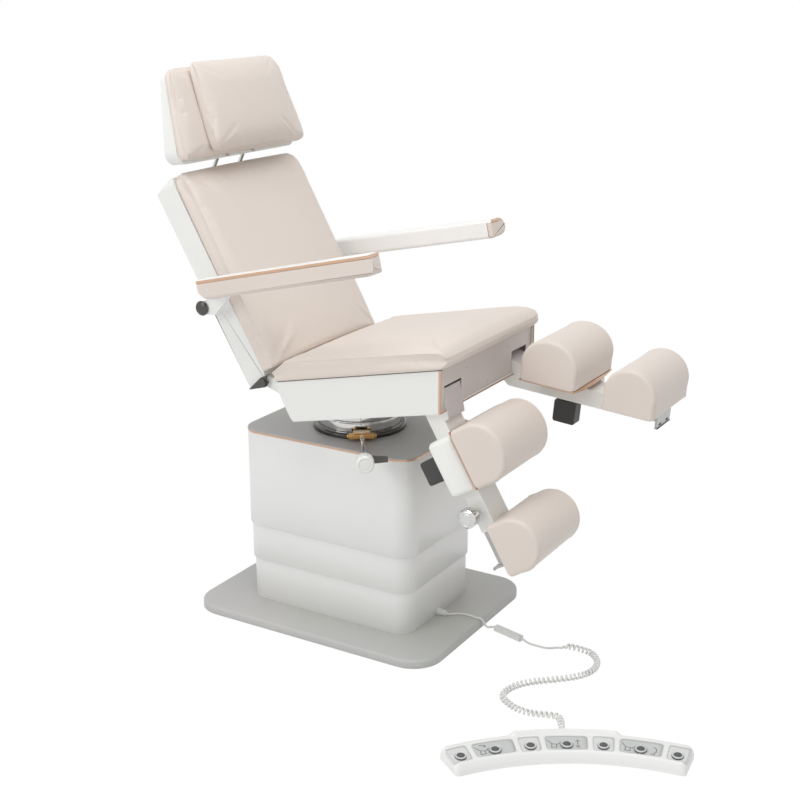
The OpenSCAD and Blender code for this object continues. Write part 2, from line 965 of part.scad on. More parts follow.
module head_plate() {
    color(white)
        head_frame()
            difference() {
                intersection() {
                    across(head_w)
                        polygon([[0, 0], [0, head_h], [-head_top_t, head_h], [-head_t, 0]]);
                    rotate([90, 0, 0])
                        linear_extrude(head_t)
                            head_plan(0);
                }
                translate([0, -head_axle_n, head_axle_up])
                    cross_bar(-head_axle_l / 2 - cut, head_axle_l / 2 + cut,
                        head_axle_r + bore_gap);
                for (side = [-1, 1])
                    translate([
                        side * post_x - post_r - post_slot,
                        -head_t - cut,
                        -cut
                    ])
                        cube([2 * (post_r + post_slot), head_t + 2 * cut,
                            head_axle_up + head_axle_r + post_slot]);
            }
}

head_shares = [
    [0, 0.96, 0.01, 0.62, 0.66], [0.02, 1, 0.01, 0.84, 0.88], [0.07, 1.01, 0.01, 0.98, 1.02],
    [0.3, 0.99, 0.01, 0.96, 1.03], [0.65, 0.94, 0.01, 0.84, 0.92], [0.88, 0.91, 0.01, 0.74, 0.8],
    [0.965, 0.88, 0.01, 0.6, 0.64], [1, 0.8, 0.04, 0.32, 0.34]
];

// Frame on the plate's sloping front face, Z out of the face
module head_face() {
    slope = atan2(head_t - head_top_t, head_h);
    head_frame()
        translate([0, -head_t, 0])
            rotate([90 - slope, 0, 0])
                children();
}

module head_cushion() {
    color(beige)
        head_face()
            translate([0, head_pad_up, 0])
                pad(head_h - head_pad_up, head_w, head_pad_t, head_shares);
}

pillow_lift_share = 1.1;
pillow_slope_share = 0.24;
pillow_shares = [
    [0, 0.9, 0.02, 0.3, 0.34], [0.03, 0.96, 0.01, 0.5, 0.62], [0.14, 1, 0.01, 0.62, 0.92],
    [0.35, 1, 0.01, 0.62, 1], [0.7, 0.99, 0.01, 0.6, 0.96], [0.9, 0.97, 0.01, 0.52, 0.74],
    [0.975, 0.94, 0.01, 0.36, 0.46], [1, 0.9, 0.05, 0.2, 0.24]
];

module head_pillow() {
    over = head_pad_t * pillow_lift_share;
    color(beige)
        head_face()
            translate([0, pillow_up, over])
                rotate([-atan2(head_pad_t * pillow_slope_share, head_h), 0, 0])
                    pad(pillow_l, pillow_w, pillow_t, pillow_shares);
}

// Armrests, drawn in the seat's frame and mirrored to each side

arm_rear = arm_nose + arm_l;
arm_nose_r = 26;
arm_chamfer = 20;
arm_edge_r = 9;
arm_core_w = 32;
arm_pad_gap = 0.3;
lid_t = 2;
nose_cap_l = 18;
seam_t = 4;
knob_wall = 3;
strap_t = 8;
strap_l = 70;
strap_r = 16;
strap_drop = 48;
arm_pin_at = in_seat(
    hinge_y + (back_hinge_n - arm_pin_n) * cos(back_lean)
        + (arm_pin_up - back_hinge_up) * sin(back_lean),
    hinge_z - (back_hinge_n - arm_pin_n) * sin(back_lean)
        + (arm_pin_up - back_hinge_up) * cos(back_lean)
);
arm_knob_l = 9;
arm_pin_end = arm_out_x - arm_w + strap_t + arm_knob_l - knob_wall;

module arm_side(side) {
    mirror([side < 0 ? 1 : 0, 0, 0])
        seat_frame()
            translate([0, arm_pin_at[0], arm_pin_at[1]])
                rotate([side < 0 ? -right_arm_lift : 0, 0, 0])
                    translate([0, -arm_pin_at[0], -arm_pin_at[1]])
                        children();
}

module arm_outline() {
    hull() {
        translate([arm_nose + arm_nose_r, arm_up + arm_nose_r])
            circle(arm_nose_r);
        translate([arm_nose + arm_nose_r, arm_up + arm_h - arm_nose_r])
            circle(arm_nose_r);
        polygon([
            [arm_rear, arm_up + arm_h],
            [arm_rear, arm_up + arm_chamfer],
            [arm_rear - arm_chamfer, arm_up]
        ]);
    }
}

// Part of the arm between two heights, two distances from its inner face and
// two distances behind the pan's front
module arm_block(low, high, in, out, from, to) {
    intersection() {
        translate([arm_out_x - arm_w + (in + out) / 2, 0, 0])
            across(out - in)
                intersection() {
                    arm_outline();
                    translate([from, arm_up + low])
                        square([to - from, high - low]);
                }
        translate([arm_out_x - arm_w / 2, arm_rear, arm_up + arm_h / 2])
            rotate([90, 0, 0])
                slab(arm_w, arm_h, arm_l, arm_edge_r);
        translate([arm_out_x - arm_w, 0, arm_up - cut])
            linear_extrude(arm_h + 2 * cut)
                polygon([
                    [-cut, arm_nose + nose_slant],
                    [arm_w + cut, arm_nose],
                    [arm_w + cut, arm_rear + cut],
                    [-cut, arm_rear + cut]
                ]);
    }
}

pad_top = arm_h - strip_h - lid_t;
cap_end = arm_nose + nose_slant + nose_cap_l;

module arm_shell(side) {
    arm_side(side) {
        color(white)
            difference() {
                union() {
                    arm_block(0, arm_h, 0, arm_core_w, cap_end, arm_rear);
                    arm_block(pad_top + strip_h, arm_h, 0, arm_w, arm_nose, arm_rear);
                    translate([arm_out_x - arm_w + strap_t / 2, 0, 0])
                        across(strap_t)
                            hull() {
                                translate(arm_pin_at)
                                    circle(strap_r, $fn = 32);
                                translate([arm_rear - strap_l, arm_up])
                                    square([strap_l - 2 * arm_chamfer, strap_t]);
                                translate([arm_rear + cut, arm_up - strap_drop])
                                    square(cut);
                            }
                }
                translate([0, arm_pin_at[0], arm_pin_at[1]])
                    cross_bar(arm_out_x - 2 * arm_w, arm_out_x, arm_pin_r + bore_gap);
            }
        color(copper) {
            arm_block(pad_top, pad_top + strip_h, arm_core_w, arm_w - trim_proud, arm_nose,
                arm_rear);
            arm_block(pad_top, pad_top + strip_h, 0, arm_core_w, arm_nose, cap_end);
            arm_block(0, pad_top, 0, arm_core_w, cap_end - seam_t, cap_end);
        }
    }
}

module arm_pad(side) {
    color(beige)
        arm_side(side)
            union() {
                arm_block(0, pad_top - arm_pad_gap, arm_core_w + arm_pad_gap, arm_w, arm_nose,
                    arm_rear);
                arm_block(0, pad_top - arm_pad_gap, 0, arm_w, arm_nose,
                    cap_end - seam_t - arm_pad_gap);
            }
}

module arm_knob(side) {
    color(chrome)
        arm_side(side)
            translate([arm_out_x - arm_w + strap_t + run_gap, arm_pin_at[0], arm_pin_at[1]])
                rotate([0, 90, 0])
                    difference() {
                        turned_knob(arm_knob_r, arm_knob_l, knob_edge_r);
                        translate([0, 0, -cut])
                            cylinder(arm_knob_l - knob_wall + cut, arm_pin_r + bore_gap,
                                arm_pin_r + bore_gap);
                    }
}

// Legs, drawn level for the left side: they run to -Y from the pivot, Z up.
// The right leg is the mirror image.

tube_low = tube_drop + tube_h;
tube_mid_x = tube_in_x + tube_w / 2;
tube_out_x = tube_in_x + tube_w;
knuckle_l = 57;
knuckle_shares = [
    [0.3, 0.355], [-1, -0.065], [-1, -1], [-0.18, -1], [0.35, -0.645], [0.53, -0.13]
];
bar_gap = run_gap;
bar_start = 110;
bar_wall = 5;
tray_t = 10;
tray_edge = 3;
tray_up = 25;
riser_w = 56;
riser_l = 90;
riser_s = 30;
cover_start = 92;
cover_out = 34;
cover_h = 76;
cover_low = 78;
cover_r = 13;
cover_edge = 10;
lever_pin_s = 140;
lever_pin_n = 71;
lever_pin_r = 4;
lever_start_s = 130;
lever_len = 64;
lever_top_n = 82;
lever_low_n = 145;
lever_in = 21;
lever_mid_x = tube_out_x - lever_in;
lever_wide = 38;
lever_neck_w = 14;
lever_ear_t = 9;
lever_eye_r = 7;
lock_n = 52;
collar_start = 8;
collar_l = 8;
collar_r = 14;
lock_knob_start = 22;
lock_knob_l = 32;
lock_edge_r = 6;
calf_edge = 6;
lip_h = 5;
lip_l = 7;
slot_n = 67;
plate_low_n = 76;

tray_n = tray_up - tube_drop;

function leg_drop(side) = side < 0 ? right_drop : left_drop;
function upper_s(side) = side < 0 ? calf_a_s : calf_a_s + left_set;
function lower_s(side) = side < 0 ? calf_b_s + right_ext : calf_b_s;

module leg_frame(side) {
    mirror([side < 0 ? 1 : 0, 0, 0])
        translate([0, -leg_pivot_y, leg_pivot_z])
            rotate([leg_drop(side), 0, 0])
                children();
}

// Block between two distances along the leg and two heights
module leg_box(x0, x1, s0, s1, n0, n1) {
    translate([x0, -s1, n0])
        cube([x1 - x0, s1 - s0, n1 - n0]);
}

module leg_beam(side) {
    wide = tube_w - 2 * tube_t;
    color(white)
        leg_frame(side)
            difference() {
                union() {
                    translate([tube_mid_x, 0, 0])
                        across(tube_w)
                            polygon([for (k = knuckle_shares) [k[0] * knuckle_l, k[1] * tube_low]]);
                    difference() {
                        leg_box(tube_in_x, tube_out_x, knuckle_l - cut, tube_l,
                            -tube_low, -tube_drop);
                        leg_box(tube_in_x + tube_t, tube_out_x - tube_t, knuckle_l + cut,
                            tube_l + cut, -tube_low + tube_t, -tube_drop - tube_t);
                    }
                    leg_box(tube_mid_x - riser_w / 2, tube_mid_x + riser_w / 2,
                        upper_s(side) + riser_s, upper_s(side) + riser_s + riser_l,
                        -tube_drop - tube_t / 2, tray_n - tray_t - tray_edge);
                    for (x = [-1, 1])
                        translate([
                            lever_mid_x + x * (lever_neck_w / 2 + run_gap + lever_ear_t / 2),
                            0,
                            0
                        ])
                            across(lever_ear_t)
                                union() {
                                    translate([-lever_pin_s, -lever_pin_n])
                                        circle(lever_eye_r);
                                    translate([-lever_pin_s - lever_eye_r, -lever_pin_n])
                                        square([2 * lever_eye_r, lever_pin_n - tube_low + cut]);
                                }
                    translate([0, -lever_pin_s, -lever_pin_n])
                        cross_bar(lever_mid_x - lever_neck_w, lever_mid_x + lever_neck_w,
                            lever_pin_r);
                }
                cross_bar(tube_in_x - cut, tube_out_x + cut, leg_pin_r + bore_gap);
                translate([0, -lock_s, -lock_n])
                    cross_bar(tube_out_x - tube_t - cut, tube_out_x + cut, lock_pin_r + bore_gap);
            }
}

module cover_face(inset) {
    rounded(cover_l - 2 * inset, cover_h - 2 * inset, cover_r - inset / 2);
}

module leg_cover(side) {
    color(white)
        leg_frame(side)
            translate([tube_out_x, -cover_start - cover_l / 2, cover_h / 2 - cover_low])
                rotate([90, 0, 90])
                    hull() {
                        linear_extrude(cover_out - cover_edge)
                            cover_face(0);
                        linear_extrude(cover_out - cover_edge / 3)
                            cover_face(cover_edge / 3);
                        linear_extrude(cover_out)
                            cover_face(cover_edge);
                    }
}

module leg_lever(side) {
    color(dark)
        leg_frame(side)
            difference() {
                union() {
                    translate([lever_mid_x, 0, 0])
                        across(lever_wide)
                            hull()
                                for (s = [lever_eye_r, lever_len - lever_eye_r])
                                    for (n = [lever_top_n + lever_eye_r, lever_low_n - lever_eye_r])
                                        translate([-lever_start_s - s, -n])
                                            circle(lever_eye_r, $fn = 32);
                    translate([lever_mid_x, 0, 0])
                        across(lever_neck_w)
                            hull() {
                                translate([-lever_pin_s, -lever_pin_n])
                                    circle(lever_eye_r, $fn = 32);
                                translate([-lever_pin_s - lever_eye_r, -lever_top_n - cut])
                                    square([2 * lever_eye_r, cut]);
                            }
                }
                translate([0, -lever_pin_s, -lever_pin_n])
                    cross_bar(lever_mid_x - lever_neck_w, lever_mid_x + lever_neck_w,
                        lever_pin_r + bore_gap);
            }
}

// Arched tray, flat above and bellied below
module leg_tray(side) {
    mid = (calf_in_x + calf_out_x) / 2;
    half = (calf_out_x - calf_in_x) / 2;
    color(copper)
        leg_frame(side)
            translate([0, -upper_s(side), tray_n])
                rotate([90, 0, 0])
                    linear_extrude(calf_a_l)
                        polygon([
                            [mid - half, 0],
                            for (x = [-1:0.125:1])
                                [mid + x * half, -tray_edge - tray_t * (1 - x * x)],
                            [mid + half, 0]
                        ]);
}

// D-shaped section of a calf cushion, straight sides under a round top
function calf_ring(x, length, inset) = [
    [x, -inset - calf_edge / 2, 0],
    [x, -length + inset + calf_edge / 2, 0],
    [x, -length + inset, calf_edge],
    [x, -length + inset + calf_edge / 5, calf_side_h / 2],
    for (a = [0:18:180])
        [
            x,
            -length / 2 - (length / 2 - inset) * cos(a),
            calf_side_h + (calf_h - calf_side_h - inset) * sin(a)
        ],
    [x, -inset - calf_edge / 5, calf_side_h / 2],
    [x, -inset, calf_edge]
];

module calf_pad(length) {
    wide = calf_out_x - calf_in_x;
    loft([
        for (k = [[0, 1], [0.3, 0.4], [1, 0], [3, -0.2]])
            calf_ring(calf_in_x + k[0] * calf_edge, length, k[1] * calf_edge),
        for (k = [[3, -0.2], [1, 0], [0.3, 0.4], [0, 1]])
            calf_ring(calf_out_x - k[0] * calf_edge, length, k[1] * calf_edge)
    ]);
}

module calf_upper(side) {
    color(beige)
        leg_frame(side)
            translate([0, -upper_s(side), tray_n])
                calf_pad(calf_a_l);
}

module calf_lower(side) {
    color(beige)
        leg_frame(side)
            translate([0, -lower_s(side), -tube_drop + run_gap])
                calf_pad(calf_b_l);
}

module leg_carriage(side) {
    out = lower_s(side) - calf_b_s;
    plate_s = lower_s(side) + end_from_pad;
    in = tube_t + bar_gap;
    leg_frame(side) {
        color(chrome)
            difference() {
                leg_box(tube_in_x + in, tube_out_x - in, bar_start + out, plate_s,
                    -tube_low + in, -tube_drop - in);
                leg_box(tube_in_x + in + bar_wall, tube_out_x - in - bar_wall,
                    bar_start + out - cut, plate_s + cut,
                    -tube_low + in + bar_wall, -tube_drop - in - bar_wall);
            }
        color(chrome)
            leg_box(tube_in_x + in, tube_out_x - in, tube_l + bar_wall, plate_s,
                -tube_drop - in - bar_wall / 2, -tube_drop + run_gap);
        color(chrome)
            difference() {
                leg_box(tube_mid_x - end_w / 2, tube_mid_x + end_w / 2,
                    plate_s - cut, plate_s + end_t, -plate_low_n, -tube_drop + run_gap);
                for (x = [-1, 1])
                    translate([tube_mid_x + x * slot_pitch / 2, -plate_s - end_t - cut, -slot_n])
                        rotate([-90, 0, 0])
                            linear_extrude(end_t + 3 * cut)
                                union() {
                                    square([slot_l - slot_w, slot_w], center = true);
                                    for (e = [-1, 1])
                                        translate([e * (slot_l - slot_w) / 2, 0])
                                            circle(slot_w / 2);
                                }
            }
        color(dark)
            leg_box(tube_mid_x - end_w / 2, tube_mid_x + end_w / 2,
                plate_s - cut, plate_s + lip_l, -plate_low_n, -plate_low_n + lip_h / 2);
    }
}

module leg_knob(side) {
    color(chrome)
        leg_frame(side)
            translate([tube_out_x, -lock_s, -lock_n])
                union() {
                    cross_bar(-tube_t / 2, lock_knob_start + cut, lock_pin_r);
                    cross_bar(collar_start, collar_start + collar_l, collar_r);
                    translate([lock_knob_start, 0, 0])
                        rotate([0, 90, 0])
                            turned_knob(lock_r, lock_knob_l, lock_edge_r);
                }
}

// Foot switch, on an arc about a centre out on the floor

switch_top_share = 0.73;
switch_lip = 12;
switch_slope_in = 15;
hump_h = 8;
hump_share = 0.9;
hump_half = 11;
hump_in = 18;
well_deep = 9;
well_gap = 0.4;
button_gap = 0.5;
button_dome = 4;

module switch_frame() {
    translate([-switch_cx, -switch_cy, 0])
        rotate([0, 0, switch_turn])
            children();
}

module arc_body(half) {
    rotate([0, 0, -half])
        rotate_extrude(angle = 2 * half, $fn = 180)
            children();
}

module foot_switch() {
    color(white)
        switch_frame()
            difference() {
                union() {
                    arc_body(switch_half)
                        polygon([
                            [switch_in_r, 0],
                            [switch_in_r + switch_slope_in / 3, switch_h * switch_top_share / 2],
                            [switch_in_r + switch_slope_in, switch_h * switch_top_share],
                            [switch_out_r - switch_slope_in, switch_h],
                            [switch_out_r - switch_slope_in / 3, switch_h - switch_slope_in / 5],
                            [switch_out_r, switch_h - switch_lip],
                            [switch_out_r, 0]
                        ]);
                    arc_body(hump_half)
                        polygon([
                            [switch_out_r - hump_in, 0],
                            [switch_out_r - hump_in, switch_h],
                            [switch_out_r - hump_in / 2, switch_h + hump_h * hump_share],
                            [switch_out_r - hump_in / 3, switch_h + hump_h],
                            [switch_out_r - cut, switch_h],
                            [switch_out_r - cut, 0]
                        ]);
                }
                for (k = [-3:3])
                    rotate([0, 0, k * button_step])
                        translate([button_row_r, 0, button_floor])
                            cylinder(switch_h, button_r + well_gap, button_r + well_gap);
            }
}

button_top = switch_h * (1 + switch_top_share) / 2;
button_floor = button_top - well_deep;

module foot_button(k) {
    color(chrome)
        switch_frame()
            rotate([0, 0, -k * button_step])
                translate([button_row_r, 0, button_floor + button_travel + button_gap])
                    rotate_extrude()
                        polygon([
                            [0, 0],
                            [button_r, 0],
                            [button_r, button_h - button_dome],
                            for (a = [20:20:80])
                                [button_r * cos(a), button_h - button_dome + button_dome * sin(a)],
                            [0, button_h]
                        ]);
}

button_h = button_top + button_up - button_floor - button_travel - button_gap;

// Cord: a thin cable over the plate, a floor coupler, then a curly cord

// Places along the cable's first run, from the grommet to the coupler
cable_in = [
    [-15, -289.5, 31], [-14, -294, 30.5], [-8, -300, 28.5], [2, -306, 27], [10, -318, 27],
    [15, -336, 27], [14, -352, 27], [12, -368, 27.2], [12, -381, 27.4], [13, -390, 22],
    [14, -396, 11], [16, -403, 5.5], [19, -412, 6.5], [21.5, -421.2, 8], [20, -427, 8]
];
// Places along the cable's second run, from the coupler to the curls
cable_out = [
    [-3, -515, 8], [-4.5, -520.8, 8], [-7, -532, 5], [-9, -545, 2.8], [-10, -560, 2.8],
    [-10, -576, 2.8], [-9, -590, 2.8], [-5, -601, 2.8], [2, -609, 2.8], [8.4, -617.8, 2.8],
    [12, -625, 2.8]
];
// Places along the middle of the curls
curl_route = [
    [12, -625], [20, -641], [22, -682], [12, -718], [-25, -747], [-75, -752], [-123, -728],
    [-169, -682], [-202, -646], [-239, -619], [-278, -608], [-309, -614], [-330, -638],
    [-344, -671], [-345, -708], [-333, -742], [-330, -777], [-385, -810]
];
relief_z = 14;
relief_l = 33;
relief_r = 8;
relief_mouth_r = 4.5;
coupler_w = 18;
coupler_h = 16;
gland_r = 11;
gland_mouth_share = 0.64;
ring_per_curl = 8;
straight_rings = 4;
ramp_rings = 12;

function unit(v) = v / norm(v);

// Round tube of rings square to the way between neighbours
function tube_rings(path, r, sides) = [
    for (i = [0:len(path) - 1])
        let (
            along = unit(path[min(i + 1, len(path) - 1)] - path[max(i - 1, 0)]),
            across_way = unit(cross(along, [0, 0, 1])),
            up_way = cross(across_way, along)
        )
            [for (k = [0:sides - 1])
                path[i] + r * (cos(360 * k / sides) * across_way + sin(360 * k / sides) * up_way)]
];

module cable_grommet() {
    length = -cable_in[0][1] - col_d / 2 + 2 * nest - run_gap;
    color(white)
        difference() {
            translate(cable_in[0])
                rotate([-90, 0, 0])
                    cylinder(length, gland_r * gland_mouth_share, gland_r);
            translate([-col_w / 2, -base_d / 2, 0])
                cube([col_w, base_d, base_t]);
        }
}

module floor_cable() {
    color(white) {
        loft(tube_rings(cable_in, cable_r, 8));
        loft(tube_rings(cable_out, cable_r, 8));
    }
}

module cable_coupler() {
    start = cable_in[len(cable_in) - 1];
    way = cable_out[0] - start;
    color(white)
        translate([start[0], start[1], 0])
            rotate([0, 0, atan2(way[1], way[0])])
                rotate([90, 0, 90])
                    linear_extrude(norm(way))
                        translate([0, coupler_h / 2])
                            rounded(coupler_w, coupler_h, coupler_h / 4);
}

// Smooth way through the route's places, found by length along it
function legs_of(route) = [for (i = [1:len(route) - 1]) norm(route[i] - route[i - 1])];
function total(v, i = 0) = i < len(v) ? v[i] + total(v, i + 1) : 0;
function spline(a, b, c, d, t) =
    b + t / 2 * (c - a) + t * t * (a - 2.5 * b + 2 * c - d / 2)
        + t * t * t * (1.5 * (b - c) + (d - a) / 2);
function on_route(route, legs, s, i = 0) =
    s > legs[i] && i < len(legs) - 1
        ? on_route(route, legs, s - legs[i], i + 1)
        : spline(
            route[i] - (i > 0 ? route[i] - route[i - 1] : route[1] - route[0]),
            route[i],
            route[i + 1],
            i < len(legs) - 1 ? route[i + 2] : 2 * route[i + 1] - route[i],
            s / legs[i]
        );

curl_legs = legs_of(curl_route);
curl_length = total(curl_legs);
curl_count = curls * ring_per_curl;
curl_step = curl_length / curl_count;

// Share of the full curl radius that ring i has: straight at both ends
function opened(i) =
    let (
        from_start = (i - straight_rings) / ramp_rings,
        from_end = (curl_count - straight_rings - i) / ramp_rings
    )
        max(0, min(1, from_start, from_end));
function turned(i) =
    360 / ring_per_curl * (min(max(i, straight_rings), curl_count - straight_rings) - straight_rings);
function curl_out(i) =
    let (
        s = min(max(i, 0), curl_count) * curl_step,
        ahead = on_route(curl_route, curl_legs, min(s + cut, curl_length)),
        behind = on_route(curl_route, curl_legs, max(s - cut, 0)),
        way = unit(ahead - behind)
    )
        cos(turned(i)) * [way[1], -way[0], 0] + sin(turned(i)) * [0, 0, 1];
function curl_mid(i) =
    let (
        place = on_route(curl_route, curl_legs, i * curl_step),
        end_z = i < curl_count / 2 ? cable_r : relief_z
    )
        [place[0], place[1], end_z + (curl_r - end_z) * opened(i)];
curl_places = [
    for (i = [0:curl_count]) curl_mid(i) + (curl_r - cable_r) * opened(i) * curl_out(i)
];

function curl_ring(i) =
    let (
        along = unit(curl_places[min(i + 1, curl_count)] - curl_places[max(i - 1, 0)]),
        out = curl_out(i),
        a = unit(out - (out * along) * along),
        b = cross(along, a)
    )
        [for (k = [0:5]) curl_places[i] + cable_r * (cos(60 * k) * a + sin(60 * k) * b)];

curl_self_gap = min([
    for (i = [0:curl_count - ring_per_curl / 2])
        for (j = [i + ring_per_curl / 2 + 1:min(i + 2 * ring_per_curl, curl_count)])
            norm(curl_places[j] - curl_places[i])
]) - 2 * cable_r;
echo(least_gap_between_curls = curl_self_gap, length_along_curls = curl_length);

module curly_cord() {
    color(white)
        loft([for (i = [0:curl_count]) curl_ring(i)]);
}

module cord_relief() {
    color(white)
        switch_frame()
            translate([switch_out_r, 0, relief_z])
                rotate([0, 90, 0])
                    cylinder(relief_l, relief_r, relief_mouth_r);
}

base_plate();
inner_shell();
lift_guide();
cable_grommet();
floor_cable();
cable_coupler();
curly_cord();
cord_relief();
foot_switch();
middle_shell();
outer_shell();
cover_plate();
column_trim();
lift_ram();
turntable_ring();
swivel_hub();
clamp_block();
brake_rod();
brake_knob();
tilt_saddle();
seat_pan();
front_panel();
seat_trim();
seat_cushion();
back_shell();
back_cushion();
hinge_plates();
head_posts();
head_plate();
head_cushion();
head_pillow();
foot_button(-3);  // foot_button_1
foot_button(-2);  // foot_button_2
foot_button(-1);  // foot_button_3
foot_button(0);  // foot_button_4
foot_button(1);  // foot_button_5
foot_button(2);  // foot_button_6
foot_button(3);  // foot_button_7
arm_shell(-1);  // right_arm_shell
arm_pad(-1);  // right_arm_pad
arm_knob(-1);  // right_arm_knob
leg_beam(-1);  // right_leg_beam
leg_cover(-1);  // right_leg_cover
leg_lever(-1);  // right_leg_lever
leg_tray(-1);  // right_leg_tray
leg_carriage(-1);  // right_leg_carriage
leg_knob(-1);  // right_leg_knob
calf_upper(-1);  // right_calf_upper
calf_lower(-1);  // right_calf_lower
arm_shell(1);  // left_arm_shell
arm_pad(1);  // left_arm_pad
arm_knob(1);  // left_arm_knob
leg_beam(1);  // left_leg_beam
leg_cover(1);  // left_leg_cover
leg_lever(1);  // left_leg_lever
leg_tray(1);  // left_leg_tray
leg_carriage(1);  // left_leg_carriage
leg_knob(1);  // left_leg_knob
calf_upper(1);  // left_calf_upper
calf_lower(1);  // left_calf_lower
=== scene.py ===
import json
import math

import bmesh
import bpy
import numpy as np
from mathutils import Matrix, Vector

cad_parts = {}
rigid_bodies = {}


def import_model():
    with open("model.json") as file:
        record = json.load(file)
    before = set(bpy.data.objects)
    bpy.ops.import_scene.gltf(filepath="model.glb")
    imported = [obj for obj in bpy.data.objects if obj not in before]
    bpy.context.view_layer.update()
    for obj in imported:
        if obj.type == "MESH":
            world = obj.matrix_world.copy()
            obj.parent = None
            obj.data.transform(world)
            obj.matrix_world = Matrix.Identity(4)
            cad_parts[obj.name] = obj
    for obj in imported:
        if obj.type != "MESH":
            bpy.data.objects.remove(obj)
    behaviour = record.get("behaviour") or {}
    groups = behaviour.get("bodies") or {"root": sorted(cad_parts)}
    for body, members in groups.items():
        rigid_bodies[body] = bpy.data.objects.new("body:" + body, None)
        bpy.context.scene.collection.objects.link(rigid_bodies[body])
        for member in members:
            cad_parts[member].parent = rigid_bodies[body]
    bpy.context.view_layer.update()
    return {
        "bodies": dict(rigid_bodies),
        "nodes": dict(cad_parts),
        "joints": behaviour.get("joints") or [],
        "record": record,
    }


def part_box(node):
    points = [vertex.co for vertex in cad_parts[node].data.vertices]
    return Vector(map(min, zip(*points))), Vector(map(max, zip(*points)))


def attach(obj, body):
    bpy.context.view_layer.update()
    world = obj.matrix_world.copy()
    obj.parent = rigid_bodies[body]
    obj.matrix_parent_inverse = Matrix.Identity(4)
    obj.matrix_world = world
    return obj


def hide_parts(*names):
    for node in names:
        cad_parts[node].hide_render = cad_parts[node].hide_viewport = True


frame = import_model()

# Camera, floor and lamps
# A pale studio: one long-lens camera at a standing person's eye level, a white
# floor that keeps a soft shadow, and a large lamp on the near side.
CAMERA_PLACE = (-3.0785, -1.9663, 1.7570)
CAMERA_AIM = (0.0132, -0.1222, 0.6201)
CAMERA_LENS = 62.15
CAMERA_REACH = 60
FLOOR_HALF = 14.0
FLOOR_WHITE_SHARE = 0.97
FLOOR_GLOW = 1.015
FLOOR_PAPER = (0.9, 0.9, 0.9, 1)
WORLD_LEVEL = 0.56
WHITE = (1, 1, 1, 1)
LAMPS = (
    ("side_lamp", (-4.2, 1.6, 2.6), (0, 0, 0.5), 2.4, 47),
    ("top_lamp", (-0.8, -0.6, 3.8), (0, -0.1, 0.4), 2.2, 46),
)


def aimed(name, data, place, aim):
    """Camera or lamp at a place, turned to look at the aim."""
    thing = bpy.data.objects.new(name, data)
    thing.location = place
    thing.rotation_mode = "QUATERNION"
    thing.rotation_quaternion = (Vector(aim) - Vector(place)).to_track_quat("-Z", "Y")
    bpy.context.scene.collection.objects.link(thing)
    return thing


def new_node(tree, kind, inputs=None, **settings):
    """Node with its settings, and with a value or another node's socket on each input."""
    node = tree.nodes.new(kind)
    for name, value in settings.items():
        setattr(node, name, value)
    for name, value in (inputs or {}).items():
        if isinstance(value, bpy.types.NodeSocket):
            tree.links.new(value, node.inputs[name])
        else:
            node.inputs[name].default_value = value
    return node


def seen_by(tree):
    """Socket that is 1 for rays from the camera, from gloss and through glass."""
    path = new_node(tree, "ShaderNodeLightPath").outputs
    first = new_node(tree, "ShaderNodeMath", {0: path["Is Camera Ray"], 1: path["Is Glossy Ray"]},
                     operation="MAXIMUM")
    both = new_node(tree, "ShaderNodeMath",
                    {0: first.outputs[0], 1: path["Is Transmission Ray"]}, operation="MAXIMUM")
    return both.outputs[0]


def add_world(level):
    """World that lights at the level and shows white."""
    world = bpy.data.worlds.new("studio")
    world.use_nodes = True
    tree = world.node_tree
    tree.nodes.clear()
    soft = new_node(tree, "ShaderNodeBackground", {"Color": WHITE, "Strength": level})
    shown = new_node(tree, "ShaderNodeBackground", {"Color": WHITE, "Strength": 1})
    mix = new_node(tree, "ShaderNodeMixShader",
                   {0: seen_by(tree), 1: soft.outputs[0], 2: shown.outputs[0]})
    new_node(tree, "ShaderNodeOutputWorld", {"Surface": mix.outputs[0]})
    bpy.context.scene.world = world


def add_floor(half, white_share):
    """Square floor that shows mostly its own white and takes a faint shadow."""
    mesh = bpy.data.meshes.new("floor")
    corners = [(-half, -half, 0), (half, -half, 0), (half, half, 0), (-half, half, 0)]
    mesh.from_pydata(corners, [], [(0, 1, 2, 3)])
    floor = bpy.data.objects.new("floor", mesh)
    bpy.context.scene.collection.objects.link(floor)
    material = bpy.data.materials.new("floor_paper")
    material.use_nodes = True
    tree = material.node_tree
    tree.nodes.clear()
    matt = new_node(tree, "ShaderNodeBsdfDiffuse", {"Color": FLOOR_PAPER})
    glow = new_node(tree, "ShaderNodeEmission", {"Color": WHITE, "Strength": FLOOR_GLOW})
    share = new_node(tree, "ShaderNodeMath", {0: seen_by(tree), 1: white_share},
                     operation="MULTIPLY")
    mix = new_node(tree, "ShaderNodeMixShader",
                   {0: share.outputs[0], 1: matt.outputs[0], 2: glow.outputs[0]})
    new_node(tree, "ShaderNodeOutputMaterial", {"Surface": mix.outputs[0]})
    mesh.materials.append(material)


bpy.context.scene.view_settings.view_transform = "Standard"
camera = aimed("camera", bpy.data.cameras.new("camera"), CAMERA_PLACE, CAMERA_AIM)
camera.data.lens = CAMERA_LENS
camera.data.clip_end = CAMERA_REACH
bpy.context.scene.camera = camera
add_world(WORLD_LEVEL)
add_floor(FLOOR_HALF, FLOOR_WHITE_SHARE)
for name, place, aim, size, power in LAMPS:
    lamp = aimed(name, bpy.data.lights.new(name, "AREA"), place, aim)
    lamp.data.size, lamp.data.energy = size, power

